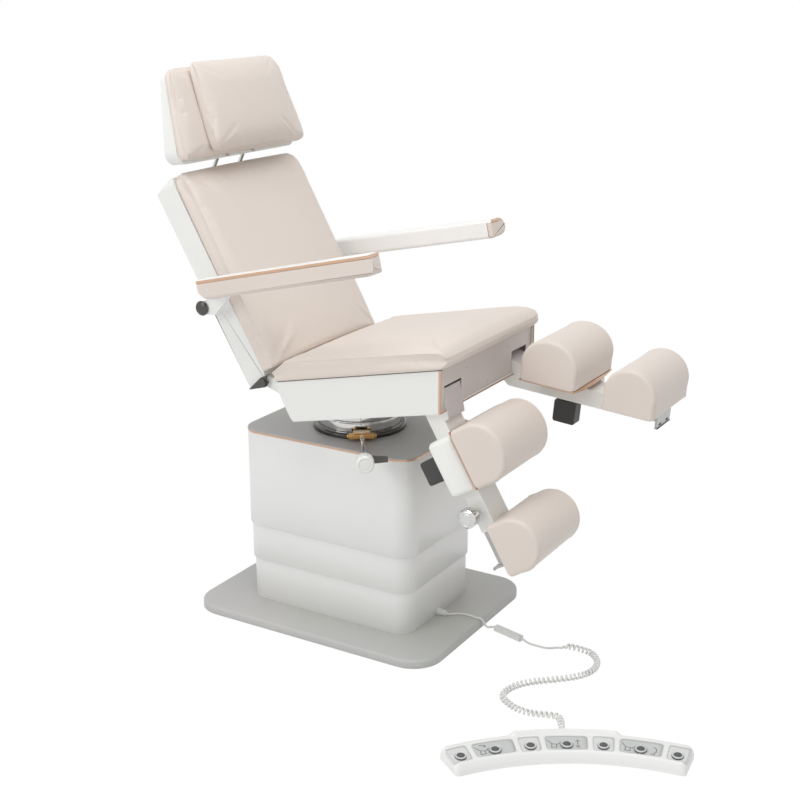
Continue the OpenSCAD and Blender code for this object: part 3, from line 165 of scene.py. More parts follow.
# Cords on the floor
# A thin white cable leaves the grommet at the column's foot, drops over the
# plate's edge into a floor coupler, and goes on as a curly cord to the switch.
MM = 0.001
CABLE_IN = [
    (-15, -289.5, 31), (-14, -294, 30.5), (-8, -300, 28.5), (2, -306, 27), (10, -318, 27),
    (15, -336, 27), (14, -352, 27), (12, -368, 27.2), (12, -381, 27.4), (13, -390, 22),
    (14, -396, 11), (16, -403, 5.5), (19, -412, 6.5), (21.5, -421.2, 8), (20, -427, 8),
]
CABLE_OUT = [
    (-3, -515, 8), (-4.5, -520.8, 8), (-7, -532, 5), (-9, -545, 2.8), (-10, -560, 2.8),
    (-10, -576, 2.8), (-9, -590, 2.8), (-5, -601, 2.8), (2, -609, 2.8), (8.4, -617.8, 2.8),
    (12, -625, 2.8),
]
CURL_ROUTE = [
    (12, -625), (20, -641), (22, -682), (12, -718), (-25, -747), (-75, -752), (-123, -728),
    (-169, -682), (-202, -646), (-239, -619), (-278, -608), (-309, -614), (-330, -638),
    (-344, -671), (-345, -708), (-333, -742), (-330, -777), (-385, -810),
]
CABLE_R = 2.8 * MM
CURL_R = 9 * MM
RELIEF_Z = 14 * MM
CURLS = 60
RINGS_PER_CURL = 16
STRAIGHT_RINGS = 8
RAMP_RINGS = 24


def unit(v):
    """Each row at length 1."""
    return v / np.linalg.norm(v, axis=-1, keepdims=True)


def run_length(path):
    """Length along a row of points."""
    return float(np.linalg.norm(np.diff(path, axis=0), axis=1).sum())


def on_route(route, s):
    """Catmull-Rom points at distances s along the legs of a route."""
    legs = np.linalg.norm(np.diff(route, axis=0), axis=1)
    ends = np.concatenate([[0], np.cumsum(legs)])
    i = np.clip(np.searchsorted(ends, s, side="left") - 1, 0, len(legs) - 1)
    t = ((s - ends[i]) / legs[i])[:, None]
    padded = np.vstack([2 * route[0] - route[1], route, 2 * route[-1] - route[-2]])
    a, b, c, d = padded[i], padded[i + 1], padded[i + 2], padded[i + 3]
    return (b + t / 2 * (c - a) + t ** 2 * (a - 2.5 * b + 2 * c - d / 2)
            + t ** 3 * (1.5 * (b - c) + (d - a) / 2))


def link_mesh(name, points, faces, smooth=True):
    """Object at the origin with its place in its mesh."""
    mesh = bpy.data.meshes.new(name)
    mesh.from_pydata(np.asarray(points, float).tolist(), [], [list(face) for face in faces])
    mesh.polygons.foreach_set("use_smooth", [smooth] * len(mesh.polygons))
    mesh.update()
    piece = bpy.data.objects.new(name, mesh)
    bpy.context.scene.collection.objects.link(piece)
    return piece


def grid_faces(rows, cols, close_rows=False, close_cols=True):
    """Quads between neighbouring rows and columns of a grid of points."""
    r = np.arange(rows if close_rows else rows - 1)[:, None]
    c = np.arange(cols if close_cols else cols - 1)[None, :]
    r2, c2 = (r + 1) % rows, (c + 1) % cols
    quads = np.stack([r * cols + c, r * cols + c2, r2 * cols + c2, r2 * cols + c], axis=-1)
    return quads.reshape(-1, 4)


def skin(name, grid, close_rows=False, caps=True):
    """Surface through a grid of rows of points, each row a closed ring, with flat ends."""
    rows, cols = grid.shape[:2]
    faces = grid_faces(rows, cols, close_rows).tolist()
    if caps and not close_rows:
        faces += [list(range(cols))[::-1], list(range((rows - 1) * cols, rows * cols))]
    piece = link_mesh(name, grid.reshape(-1, 3), faces)
    recalc(piece.data)
    return piece


def recalc(mesh):
    """Turns all faces of a closed mesh outwards."""
    work = bmesh.new()
    work.from_mesh(mesh)
    bmesh.ops.remove_doubles(work, verts=work.verts, dist=1e-6)
    bmesh.ops.recalc_face_normals(work, faces=work.faces)
    work.to_mesh(mesh)
    work.free()


def tube_grid(path, radius, sides):
    """Rings square to a path, each starting from the level side of it."""
    along = unit(np.gradient(path, axis=0))
    side_way = unit(np.cross(along, [0, 0, 1]))
    up_way = np.cross(side_way, along)
    turn = np.linspace(0, 2 * np.pi, sides, endpoint=False)
    ring = (np.cos(turn)[None, :, None] * side_way[:, None]
            + np.sin(turn)[None, :, None] * up_way[:, None])
    return path[:, None] + radius * ring


def colour(red, green, blue):
    """Linear colour from screen values of 0 to 255."""
    share = np.array([red, green, blue]) / 255
    low, high = share / 12.92, ((share + 0.055) / 1.055) ** 2.4
    return [float(x) for x in np.where(share <= 0.04045, low, high)] + [1]


def noise_node(tree, scale, detail, stretch=(1, 1, 1)):
    """Noise over the object's own coordinates."""
    place = new_node(tree, "ShaderNodeTexCoord").outputs["Object"]
    mapping = new_node(tree, "ShaderNodeMapping", {"Vector": place, "Scale": stretch})
    return new_node(tree, "ShaderNodeTexNoise", {
        "Vector": mapping.outputs["Vector"], "Scale": scale, "Detail": detail})


def tone(shade, share):
    """A colour at a share of its brightness."""
    return [min(1, x * share) for x in shade[:3]] + [1]


def varied_colour(tree, shade, darker, lighter, scale, detail=3):
    """Colour socket that drifts over the surface between two shares of a shade."""
    drift = noise_node(tree, scale, detail)
    mix = new_node(tree, "ShaderNodeMix", {
        "A": tone(shade, darker), "B": tone(shade, lighter), "Factor": drift.outputs["Fac"]},
        data_type="RGBA")
    return mix.outputs["Result"]


def varied_roughness(tree, roughness, smoother, rougher, scale, detail):
    """Roughness socket that drifts over the surface between two shares of a value."""
    drift = noise_node(tree, scale, detail)
    span = new_node(tree, "ShaderNodeMapRange", {
        "Value": drift.outputs["Fac"], "To Min": roughness * smoother,
        "To Max": roughness * rougher})
    return span.outputs["Result"]


def bumped(tree, height, strength, distance, below=None):
    """Normal socket of a fine relief from a height socket, over a relief below it."""
    inputs = {"Strength": strength, "Distance": distance, "Height": height}
    if below:
        inputs["Normal"] = below
    return new_node(tree, "ShaderNodeBump", inputs).outputs["Normal"]


def new_finish(name, roughness, metal=0.0, coat=0.0):
    """Material with one principled shader, and its tree and shader."""
    material = bpy.data.materials.new(name)
    material.use_nodes = True
    tree = material.node_tree
    shader = tree.nodes["Principled BSDF"]
    for socket, value in (("Roughness", roughness), ("Metallic", metal), ("Coat Weight", coat),
                          ("Coat Roughness", 0.12)):
        shader.inputs[socket].default_value = value
    return material, tree, shader


def feed(tree, shader, **sockets):
    """Links sockets to the shader's inputs of those names."""
    for name, socket in sockets.items():
        tree.links.new(socket, shader.inputs[name.replace("_", " ")])


def painted(name, shade, roughness=0.38, grain=900, relief=0.00004, spread=0.02, coat=0.0):
    """Smooth paint or moulded plastic: a faint orange peel and a slow drift of colour."""
    material, tree, shader = new_finish(name, roughness, coat=coat)
    peel = noise_node(tree, grain, 2).outputs["Fac"]
    feed(tree, shader, Base_Color=varied_colour(tree, shade, 1 - spread, 1 + spread, 5),
         Normal=bumped(tree, peel, 0.25, relief),
         Roughness=varied_roughness(tree, roughness, 0.85, 1.2, 14, 4))
    return material


def dress(piece, material, body, slot, *replaced):
    """Gives a piece its finish and its body, and hides the solids it stands for; slot is not used.
    """
    piece.data.materials.clear()
    piece.data.materials.append(material)
    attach(piece, body)
    if replaced:
        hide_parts(*replaced)
    return piece


def paint_node(node, material):
    """Gives a solid of the frame its finish."""
    piece = frame["nodes"][node]
    piece.data.materials.clear()
    piece.data.materials.append(material)


cable_plastic = painted("cable_plastic", colour(236, 236, 233), 0.42, 1400)


def curl_path():
    """Helix about the curl route: it lifts off the floor cable, runs at full
    radius and closes again into the strain relief."""
    route = np.array(CURL_ROUTE, float) * MM
    length = run_length(route)
    count = CURLS * RINGS_PER_CURL
    i = np.arange(count + 1)
    s = i * length / count
    place = on_route(route, s)
    nudge = 1 * MM
    way = unit(on_route(route, np.clip(s + nudge, 0, length))
               - on_route(route, np.clip(s - nudge, 0, length)))
    last = count - STRAIGHT_RINGS
    opened = np.clip(np.minimum(i - STRAIGHT_RINGS, last - i) / RAMP_RINGS, 0, 1)
    angle = 2 * np.pi / RINGS_PER_CURL * (np.clip(i, STRAIGHT_RINGS, last) - STRAIGHT_RINGS)
    out = np.stack([np.cos(angle) * way[:, 1], -np.cos(angle) * way[:, 0], np.sin(angle)], axis=1)
    end_z = np.where(i < count / 2, CABLE_R, RELIEF_Z)
    mid = np.column_stack([place, end_z + (CURL_R - end_z) * opened])
    return mid + (CURL_R - CABLE_R) * opened[:, None] * out


def smooth_run(points, steps):
    """Catmull-Rom line through a list of places in millimetres."""
    route = np.array(points, float) * MM
    legs = np.concatenate([[0], np.cumsum(np.linalg.norm(np.diff(route, axis=0), axis=1))])
    s = np.interp(np.linspace(0, len(legs) - 1, (len(legs) - 1) * steps + 1),
                  np.arange(len(legs)), legs)
    return on_route(route, s)


first_path = smooth_run(CABLE_IN, 4)
first_run = skin("cable_first_run", tube_grid(first_path, CABLE_R, 14))
dress(first_run, cable_plastic, "base", "cable_white", "floor_cable")
paint_node("cable_coupler", cable_plastic)

second_path = np.vstack([smooth_run(CABLE_OUT, 4)[:-1], curl_path()])
curly = skin("curly_cord_run", tube_grid(second_path, CABLE_R, 12))
dress(curly, cable_plastic, "base", "cable_white", "floor_cable", "curly_cord")
paint_node("cable_grommet", cable_plastic)
paint_node("cord_relief", cable_plastic)

# Floor plate
# One steel plate with rounded corners and a rolled top edge, powder coated in
# a warm mid grey with a fine speckled grain.
PLATE_EDGE_R, PLATE_CORNER, PLATE_FOOT = 0.007, 0.086, 0.001


def round_outline(width, depth, corner, per_corner=16):
    """Points round a rectangle with quarter-circle corners, anticlockwise."""
    turn = (np.linspace(0, np.pi / 2, per_corner)[None, :]
            + np.arange(4)[:, None] * np.pi / 2)
    sx = np.array([1, -1, -1, 1])[:, None]
    sy = np.array([1, 1, -1, -1])[:, None]
    x = sx * (width / 2 - corner) + corner * np.cos(turn)
    y = sy * (depth / 2 - corner) + corner * np.sin(turn)
    return np.stack([x.ravel(), y.ravel()], axis=1)


def banded(width, depth, corner, profile, per_corner=16):
    """Rings of a rounded rectangle, one for each (inset, height) of the profile."""
    rings = []
    for inset, height in profile:
        ring = round_outline(width - 2 * inset, depth - 2 * inset,
                             max(corner - inset, 0.0005), per_corner)
        rings.append(np.column_stack([ring, np.full(len(ring), height)]))
    return np.array(rings)


def rolled(low, high, radius, steps=6):
    """Profile of an edge that rises from low and rolls over at high."""
    turn = np.linspace(0, np.pi / 2, steps)
    return [(0, low)] + [(radius * (1 - math.cos(a)), high - radius * (1 - math.sin(a)))
                         for a in turn]


low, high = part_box("base_plate")
plate_w, plate_d = high[0] - low[0], high[1] - low[1]
plate_profile = [(PLATE_FOOT, 0)] + rolled(PLATE_FOOT, high[2], PLATE_EDGE_R)
base_plate = skin("floor_plate", banded(plate_w, plate_d, PLATE_CORNER, plate_profile))


def speckled(name, shade, roughness):
    """Powder coat: fine pale and dark specks over a slow drift, with a pebbled relief."""
    material, tree, shader = new_finish(name, roughness)
    speck = noise_node(tree, 2600, 2).outputs["Fac"]
    ramp = new_node(tree, "ShaderNodeValToRGB", {"Fac": speck})
    for stop, place, share in zip(ramp.color_ramp.elements, (0.35, 0.65), (0.9, 1.08)):
        stop.position, stop.color = place, tone(shade, share)
    slow = noise_node(tree, 3, 3)
    drift = new_node(tree, "ShaderNodeMix", {
        "A": ramp.outputs["Color"], "B": slow.outputs["Color"], "Factor": 0.12},
        data_type="RGBA", blend_type="MULTIPLY")
    feed(tree, shader, Base_Color=drift.outputs["Result"],
         Normal=bumped(tree, speck, 0.35, 0.00012))
    return material


dress(base_plate, speckled("plate_coat", colour(202, 202, 199), 0.5), "base", "base_paint",
      "base_plate")

# Column shells
# Three nested sheet shells with rounded corners that telescope: each is a thin
# wall with an eased lip, sprayed white, and the joint between them is a dark line.
shell_paint = painted("shell_paint", colour(238, 238, 236), 0.34, 700, coat=0.15)


def wall_profile(thick, low, high, ease):
    """Closed profile of an upright wall with eased lips, as (inset, height)."""
    return [(ease, low), (0, low + ease), (0, high - ease), (ease, high),
            (thick - ease, high), (thick, high - ease), (thick, low + ease),
            (thick - ease, low)]


SHELL_T = 0.0025
SHELL_EASE = 0.0007
COLLAR_T = 0.0022
OUTER_CORNER, OUTER_HALF = 0.058, 0.1935
for node, body in (("inner_shell", "base"), ("middle_shell", "mid_column"),
                   ("outer_shell", "lift_column")):
    low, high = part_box(node)
    collar = 0 if node == "outer_shell" else COLLAR_T
    corner = OUTER_CORNER - (OUTER_HALF - (high[0] - low[0]) / 2)
    wide, deep = high[0] - low[0] - 2 * collar, high[1] - low[1] - 2 * collar
    profile = wall_profile(SHELL_T, low[2], high[2], SHELL_EASE)
    shell = skin(node + "_skin", banded(wide, deep, corner - collar, profile, 20),
                 close_rows=True)
    dress(shell, shell_paint, body, "shell_white", node)

# Cover plate and copper line
# A pressed grey plate closes the column's top and a thin copper strip runs
# under its edge; the square lift tubes hide inside the shells.


def merged_copy(node, name):
    """A solid of the frame as one joined mesh with flat faces whole, shaded smooth."""
    mesh = frame["nodes"][node].data.copy()
    mesh.name = name
    work = bmesh.new()
    work.from_mesh(mesh)
    bmesh.ops.remove_doubles(work, verts=work.verts, dist=2e-5)
    bmesh.ops.dissolve_limit(work, angle_limit=math.radians(0.6), verts=work.verts,
                             edges=work.edges)
    bmesh.ops.recalc_face_normals(work, faces=work.faces)
    work.to_mesh(mesh)
    work.free()
    mesh.materials.clear()
    mesh.polygons.foreach_set("use_smooth", [True] * len(mesh.polygons))
    piece = bpy.data.objects.new(name, mesh)
    bpy.context.scene.collection.objects.link(piece)
    return piece


def add_bevel(piece, width, segments=3, angle=28):
    """Rounds the hard edges of a piece."""
    piece.data.set_sharp_from_angle(angle=math.radians(angle))
    bevel = piece.modifiers.new("eased", "BEVEL")
    bevel.limit_method = "ANGLE"
    bevel.angle_limit = math.radians(angle)
    bevel.width = width
    bevel.segments = segments
    bevel.use_clamp_overlap = False
    bevel.harden_normals = True
    return piece


def eased(node, material, body, slot, width=0.0008, name=None):
    """A solid's joined copy with rounded edges and its finish, in the solid's place."""
    piece = add_bevel(merged_copy(node, name or node + "_skin"), width)
    return dress(piece, material, body, slot, node)


def metal(name, shade, roughness, grain, stretch, relief=0.00002, spread=0.04):
    """Worked metal: fine lines one way, with slow stains in its polish."""
    material, tree, shader = new_finish(name, roughness, metal=1.0)
    lines = noise_node(tree, grain, 3, stretch).outputs["Fac"]
    feed(tree, shader, Base_Color=varied_colour(tree, shade, 1 - spread, 1 + spread, 9),
         Normal=bumped(tree, lines, 0.3, relief),
         Roughness=varied_roughness(tree, roughness, 0.7, 1.4, 30, 5))
    return material


cover_coat = speckled("cover_coat", colour(190, 189, 187), 0.42)
copper_metal = metal("copper_metal", colour(205, 172, 148), 0.34, 160, (1, 1, 14))
steel_bare = metal("steel_bare", colour(176, 176, 174), 0.3, 220, (1, 1, 18))
eased("cover_plate", cover_coat, "lift_column", "base_paint", 0.001)
eased("column_trim", copper_metal, "lift_column", "copper_trim", 0.0003)
paint_node("lift_guide", steel_bare)
paint_node("lift_ram", steel_bare)

# Turntable and brake
# A dark chromed ring round a polished hub; a brass block with knurled ends
# clamps the ring, and a chrome rod through it carries a white knob and a lever.
HUB_R = 0.115
RING_R = 0.130
RING_GAP = 0.0003
BRAKE_TURN = 270 - 55.5


def turned(name, profile, steps=128):
    """Surface of revolution about Z from (radius, height) pairs, with closed ends."""
    angle = np.linspace(0, 2 * np.pi, steps, endpoint=False)
    r, z = np.array(profile, float).T
    r = np.maximum(r, 0.00005)
    grid = np.stack([r[:, None] * np.cos(angle), r[:, None] * np.sin(angle),
                     np.repeat(z[:, None], steps, axis=1)], axis=-1)
    return skin(name, grid)


def moved(x=0.0, y=0.0, z=0.0):
    """Move as a 4 x 4 matrix."""
    m = np.eye(4)
    m[:3, 3] = x, y, z
    return m


def turned_about(axis, degrees):
    """Turn about X, Y or Z as a 4 x 4 matrix."""
    m = np.eye(4)
    c, s = math.cos(math.radians(degrees)), math.sin(math.radians(degrees))
    i, j = {"X": (1, 2), "Y": (2, 0), "Z": (0, 1)}[axis]
    m[i, i], m[i, j], m[j, i], m[j, j] = c, -s, s, c
    return m


def put(piece, matrix):
    """Moves a piece's mesh by a matrix, turning its faces over if that mirrors it."""
    mesh = piece.data
    points = np.empty(len(mesh.vertices) * 3)
    mesh.vertices.foreach_get("co", points)
    points = points.reshape(-1, 3) @ matrix[:3, :3].T + matrix[:3, 3]
    mesh.vertices.foreach_set("co", points.ravel())
    if np.linalg.det(matrix[:3, :3]) < 0:
        mesh.flip_normals()
    mesh.update()
    return piece


def rounded_profile(points, radius, steps=4):
    """Profile whose inner corners are rounded, from (radius, height) pairs."""
    points = np.array(points, float)
    out = [points[0]]
    for before, here, after in zip(points[:-2], points[1:-1], points[2:]):
        back, ahead = before - here, after - here
        reach = min(radius, np.linalg.norm(back) * 0.45, np.linalg.norm(ahead) * 0.45)
        a = here + reach * back / np.linalg.norm(back)
        b = here + reach * ahead / np.linalg.norm(ahead)
        for t in np.linspace(0, 1, steps + 1):
            out.append((1 - t) ** 2 * a + 2 * t * (1 - t) * here + t ** 2 * b)
    out.append(points[-1])
    return out


dark_chrome = metal("dark_chrome", colour(92, 90, 88), 0.16, 200, (1, 1, 16))
chrome = metal("chrome", colour(208, 208, 207), 0.07, 260, (1, 1, 12), 0.00001)
brass = metal("brass", colour(226, 178, 112), 0.22, 300, (10, 1, 1))
lever_coat = painted("lever_coat", colour(84, 82, 80), 0.45, 1200)
knob_plastic = painted("knob_plastic", colour(236, 236, 233), 0.3, 500, coat=0.3)

hub_low, hub_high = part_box("swivel_hub")
ring_low, ring_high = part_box("turntable_ring")
hub_foot = ring_low[2]
hub = turned("hub_skin", rounded_profile([
    (0, hub_low[2]), (0.040, hub_low[2]), (0.040, hub_foot + 0.0002), (HUB_R, hub_foot + 0.0002),
    (HUB_R, hub_high[2] - 0.024), (HUB_R - 0.002, hub_high[2] - 0.022),
    (HUB_R - 0.002, hub_high[2] - 0.019), (HUB_R, hub_high[2] - 0.017),
    (HUB_R, hub_high[2]), (0, hub_high[2])], 0.002))
dress(hub, chrome, "turntable", "chrome_steel", "swivel_hub")
ring = turned("ring_skin", rounded_profile([
    (HUB_R + RING_GAP, ring_low[2]), (RING_R, ring_low[2]), (RING_R, ring_high[2] - 0.004),
    (RING_R - 0.004, ring_high[2]), (HUB_R + RING_GAP, ring_high[2]),
    (HUB_R + RING_GAP, ring_low[2])], 0.0012))
dress(ring, dark_chrome, "turntable", "dark_steel", "turntable_ring")

ROD_Z = 0.547
ROD_R = 0.006
ROD_START = 0.1313
KNOB_FROM, KNOB_TO, KNOB_R = 0.338, 0.370, 0.024
BLOCK_W, BLOCK_H, BLOCK_D = 0.068, 0.011, 0.022
CAP_W, CAP_H, CAP_D = 0.046, 0.008, 0.016
KNURL_R, KNURL_L = 0.0055, 0.006
brake_place = moved(z=ROD_Z) @ turned_about("Z", BRAKE_TURN)
along_x = turned_about("Y", 90)


def boxed(name, low, high, ease=0.001):
    """Box between two corners with rounded edges."""
    (x0, y0, z0), (x1, y1, z1) = low, high
    points = [(x0, y0, z0), (x1, y0, z0), (x1, y1, z0), (x0, y1, z0),
              (x0, y0, z1), (x1, y0, z1), (x1, y1, z1), (x0, y1, z1)]
    faces = [(0, 3, 2, 1), (4, 5, 6, 7), (0, 1, 5, 4), (1, 2, 6, 5), (2, 3, 7, 6), (3, 0, 4, 7)]
    return add_bevel(link_mesh(name, points, faces), ease)


def knurled(name, radius, length, teeth=40):
    """Roller with a straight knurl and chamfered ends, along Z."""
    steps = teeth * 4
    angle = np.linspace(0, 2 * np.pi, steps, endpoint=False)
    tooth = 1 - 0.045 * (np.arange(steps) % 4 < 2)
    rows = []
    for share, z in ((0.2, -0.5), (0.86, -0.5), (1, -0.4), (1, 0.4), (0.86, 0.5), (0.2, 0.5)):
        r = radius * share * (tooth if share == 1 else 1)
        rows.append(np.column_stack([r * np.cos(angle), r * np.sin(angle),
                                     np.full(steps, z * length)]))
    return skin(name, np.array(rows))


block = boxed("clamp_block_body", (RING_R + 0.0003, -BLOCK_W / 2, -BLOCK_H / 2),
              (RING_R + BLOCK_D, BLOCK_W / 2, BLOCK_H / 2), 0.0012)
cap = boxed("clamp_block_cap", (RING_R - CAP_D / 4 + 0.0045, -CAP_W / 2, BLOCK_H / 2),
            (RING_R + CAP_D * 0.75, CAP_W / 2, BLOCK_H / 2 + CAP_H), 0.0016)
dress(put(block, brake_place), brass, "turntable", "brass_block", "clamp_block")
dress(put(cap, brake_place), metal("pale_brass", colour(214, 196, 168), 0.3, 300, (10, 1, 1)),
      "turntable", "brass_block", "clamp_block")
for side in (-1, 1):
    roller = knurled("clamp_knurl_" + ("a" if side < 0 else "b"), KNURL_R, KNURL_L)
    put(roller, brake_place @ moved(RING_R + BLOCK_D / 2, side * (BLOCK_W / 2 + KNURL_L / 2), 0)
        @ turned_about("X", 90))
    dress(roller, brass, "turntable", "brass_block", "clamp_block")

neck_r = ROD_R * 0.82
rod = turned("brake_rod_skin", rounded_profile([
    (0, ROD_START), (ROD_R, ROD_START), (ROD_R, ROD_START + 0.045), (neck_r, ROD_START + 0.047),
    (neck_r, ROD_START + 0.052), (ROD_R, ROD_START + 0.054), (ROD_R, KNOB_FROM),
    (0, KNOB_FROM)], 0.0008), 48)
dress(put(rod, brake_place @ along_x), chrome, "brake", "chrome_steel", "brake_rod")
LEVER_AT, LEVER_T, LEVER_L, LEVER_H = 0.324, 0.008, 0.060, 0.014
lever_turn = np.linspace(np.pi, 2 * np.pi, 17)
lever_outline = [(LEVER_H / 2, LEVER_L), (-LEVER_H / 2, LEVER_L)] + [
    (2 * ROD_R * math.cos(a), 2 * ROD_R * math.sin(a)) for a in lever_turn]


def plate(name, outline, from_z, to_z, ease=0.001):
    """Flat plate with an outline in X and Y and rounded edges."""
    n = len(outline)
    points = [(x, y, z) for z in (from_z, to_z) for x, y in outline]
    faces = [tuple(range(n))[::-1], tuple(range(n, 2 * n))]
    faces += [(i, (i + 1) % n, n + (i + 1) % n, n + i) for i in range(n)]
    piece = link_mesh(name, points, faces)
    recalc(piece.data)
    return add_bevel(piece, ease)


brake_lever = plate("brake_lever", lever_outline, LEVER_AT, LEVER_AT + LEVER_T, 0.0012)
dress(put(brake_lever, brake_place @ along_x), lever_coat, "brake", "dark_steel", "brake_rod")
knob = turned("brake_knob_skin", rounded_profile([
    (0, KNOB_FROM), (KNOB_R * 0.8, KNOB_FROM), (KNOB_R, KNOB_FROM + 0.003),
    (KNOB_R, KNOB_TO - 0.005), (KNOB_R - 0.004, KNOB_TO), (KNOB_R * 0.7, KNOB_TO),
    (KNOB_R * 0.68, KNOB_TO - 0.0018), (KNOB_R * 0.58, KNOB_TO - 0.0018),
    (KNOB_R * 0.56, KNOB_TO - 0.0006), (0, KNOB_TO - 0.0003)], 0.0015), 96)
dress(put(knob, brake_place @ along_x), knob_plastic, "brake", "shell_white", "brake_knob")
saddle_coat = painted("saddle_coat", colour(70, 69, 68), 0.5, 1500)
eased("tilt_saddle", saddle_coat, "turntable", "dark_steel", 0.0015)

# Seat pan, front panel and copper trim
# A folded white pan carries the seat; a copper strip edges its open front, and a
# panel is set back inside it and held with small screws. The panel's greyish mauve
# is painted shade: its recessed front face is darkened from the pan's white.
SEAT_FRONT, SEAT_LEAN = (0, -0.4025, 0.814), -12
SEAT = moved(*SEAT_FRONT) @ turned_about("X", SEAT_LEAN)
PANEL_Y = -0.3947
PAN_HALF = 0.2635
ROOM_IN = 0.141

pan_paint = painted("pan_paint", colour(240, 240, 237), 0.36, 800, coat=0.1)
# Front panel finish: painted shade, a darker greyish mauve for the shade on the recessed front
# face.
panel_shade_paint = painted("panel_shade_paint", colour(216, 207, 203), 0.3, 900, spread=0.04, coat=0.2)
eased("seat_pan", pan_paint, "seat", "shell_white", 0.0012)
eased("front_panel", panel_shade_paint, "seat", "panel_mauve", 0.0006)
eased("seat_trim", copper_metal, "seat", "copper_trim", 0.0007)


def joined(name, pieces):
    """One piece from several, each keeping its own bevel as real faces."""
    work = bmesh.new()
    depsgraph = bpy.context.evaluated_depsgraph_get()
    for piece in pieces:
        evaluated = piece.evaluated_get(depsgraph)
        mesh = bpy.data.meshes.new_from_object(evaluated)
        work.from_mesh(mesh)
        bpy.data.meshes.remove(mesh)
        bpy.data.objects.remove(piece)
    mesh = bpy.data.meshes.new(name)
    work.to_mesh(mesh)
    work.free()
    whole = bpy.data.objects.new(name, mesh)
    bpy.context.scene.collection.objects.link(whole)
    return whole


LIP_T, LIP_D, LIP_Y = 0.0022, 0.005, -0.4005
LIP_IN, LIP_LOW, LIP_HIGH, LIP_FOOT = 0.003, 0.706, 0.810, 0.7055
LIPS = ((-PAN_HALF + LIP_IN, -PAN_HALF + LIP_IN + LIP_T, LIP_LOW, LIP_HIGH),
        (PAN_HALF - LIP_IN - LIP_T, PAN_HALF - LIP_IN, LIP_LOW, LIP_HIGH),
        (-ROOM_IN + 0.001, ROOM_IN - 0.001, LIP_FOOT, LIP_FOOT + LIP_T))
lip_parts = [boxed(f"lip_{k}", (x0, LIP_Y, z0), (x1, LIP_Y + LIP_D, z1), 0.0005)
             for k, (x0, x1, z0, z1) in enumerate(LIPS)]
dress(joined("seat_trim_lip", lip_parts), pan_paint, "seat", "shell_white")


def screw(name, radius=0.0032, height=0.0016):
    """Small pan-head screw with a cross slot, along Z from its seat."""
    head = turned(name, rounded_profile([
        (0, -0.001), (radius, -0.001), (radius, height * 0.45), (radius * 0.7, height),
        (0, height)], 0.0008), 32)
    reach, half = radius * 0.6, 0.0004
    cross = [boxed(f"{name}_slot_{k}", (-u, -v, height - 0.0002), (u, v, height + 0.0001), 0.0001)
             for k, (u, v) in enumerate(((reach, half), (half, reach)))]
    return head, cross


screw_steel = metal("screw_steel", colour(205, 203, 200), 0.25, 400, (1, 1, 4))
# Painted shade: each screw's cross slot is a thin black cross on the head, for the shadow in the
# recess.
slot_painted_shade = painted("slot_painted_shade", colour(40, 39, 38), 0.6, 1500)
SCREWS_AT = ((-0.118, 0.787), (0.246, 0.786), (0.118, 0.787), (0.0, 0.722))
for k, (x, z) in enumerate(SCREWS_AT):
    head, cross = screw(f"panel_screw_{k}")
    place = moved(x, PANEL_Y, z) @ turned_about("X", 90) @ turned_about("Z", 20 + 50 * k)
    for part in [head] + cross:
        put(part, place)
    dress(head, screw_steel, "seat", "bare_steel")
    dress(joined(f"panel_screw_slot_{k}", cross), slot_painted_shade, "seat", "dark_steel")

# Cushions of the seat, back and headrest
# Foam under sewn vinyl: a crowned top, drawn-in sides and a sewn seam where the
# top meets the side band. The vinyl is fixed at its foot, swelled by the foam in
# a cloth simulation, and has a fine leather grain.
SECTION = np.array([
    [-0.93, 0, 0], [0.93, 0, 0], [1, 0.12, 0], [0.985, 0.5, 0], [1, 0.88, 0], [0.96, 1, 0.1],
    [0.8, 1, 0.42], [0.45, 1, 0.82], [0, 1, 1], [-0.45, 1, 0.82], [-0.8, 1, 0.42],
    [-0.96, 1, 0.1], [-1, 0.88, 0], [-0.985, 0.5, 0], [-1, 0.12, 0]])
SEAT_STATIONS = np.array([
    [0, 0.95, 0.22, 0.42, 0.46], [0.012, 0.97, 0.08, 0.6, 0.66], [0.035, 0.985, 0.005, 0.7, 0.82],
    [0.075, 1, 0.005, 0.74, 0.93], [0.14, 1, 0.005, 0.75, 0.99], [0.5, 1, 0.005, 0.79, 1],
    [0.84, 1, 0.005, 0.83, 0.98], [0.9, 1, 0.005, 0.8, 0.84], [0.95, 0.99, 0.005, 0.6, 0.62],
    [0.99, 0.985, 0.02, 0.44, 0.46], [1, 0.97, 0.08, 0.38, 0.4]])
BACK_STATIONS = np.array([
    [0, 0.985, 0.005, 0.44, 0.7], [0.01, 1, 0.005, 0.46, 0.94], [0.03, 1, 0.005, 0.47, 0.99],
    [0.1, 1, 0.005, 0.47, 1], [0.25, 1, 0.005, 0.47, 0.94], [0.42, 1, 0.005, 0.47, 0.82],
    [0.62, 1, 0.005, 0.47, 0.7], [0.82, 1, 0.005, 0.47, 0.62], [0.93, 1, 0.005, 0.45, 0.58],
    [0.975, 0.98, 0.005, 0.38, 0.48], [1, 0.93, 0.06, 0.26, 0.33]])
HEAD_STATIONS = np.array([
    [0, 0.96, 0.01, 0.62, 0.66], [0.02, 1, 0.01, 0.84, 0.88], [0.07, 1.01, 0.01, 0.98, 1.02],
    [0.3, 0.99, 0.01, 0.96, 1.03], [0.65, 0.94, 0.01, 0.84, 0.92], [0.88, 0.91, 0.01, 0.74, 0.8],
    [0.965, 0.88, 0.01, 0.6, 0.64], [1, 0.8, 0.04, 0.32, 0.34]])
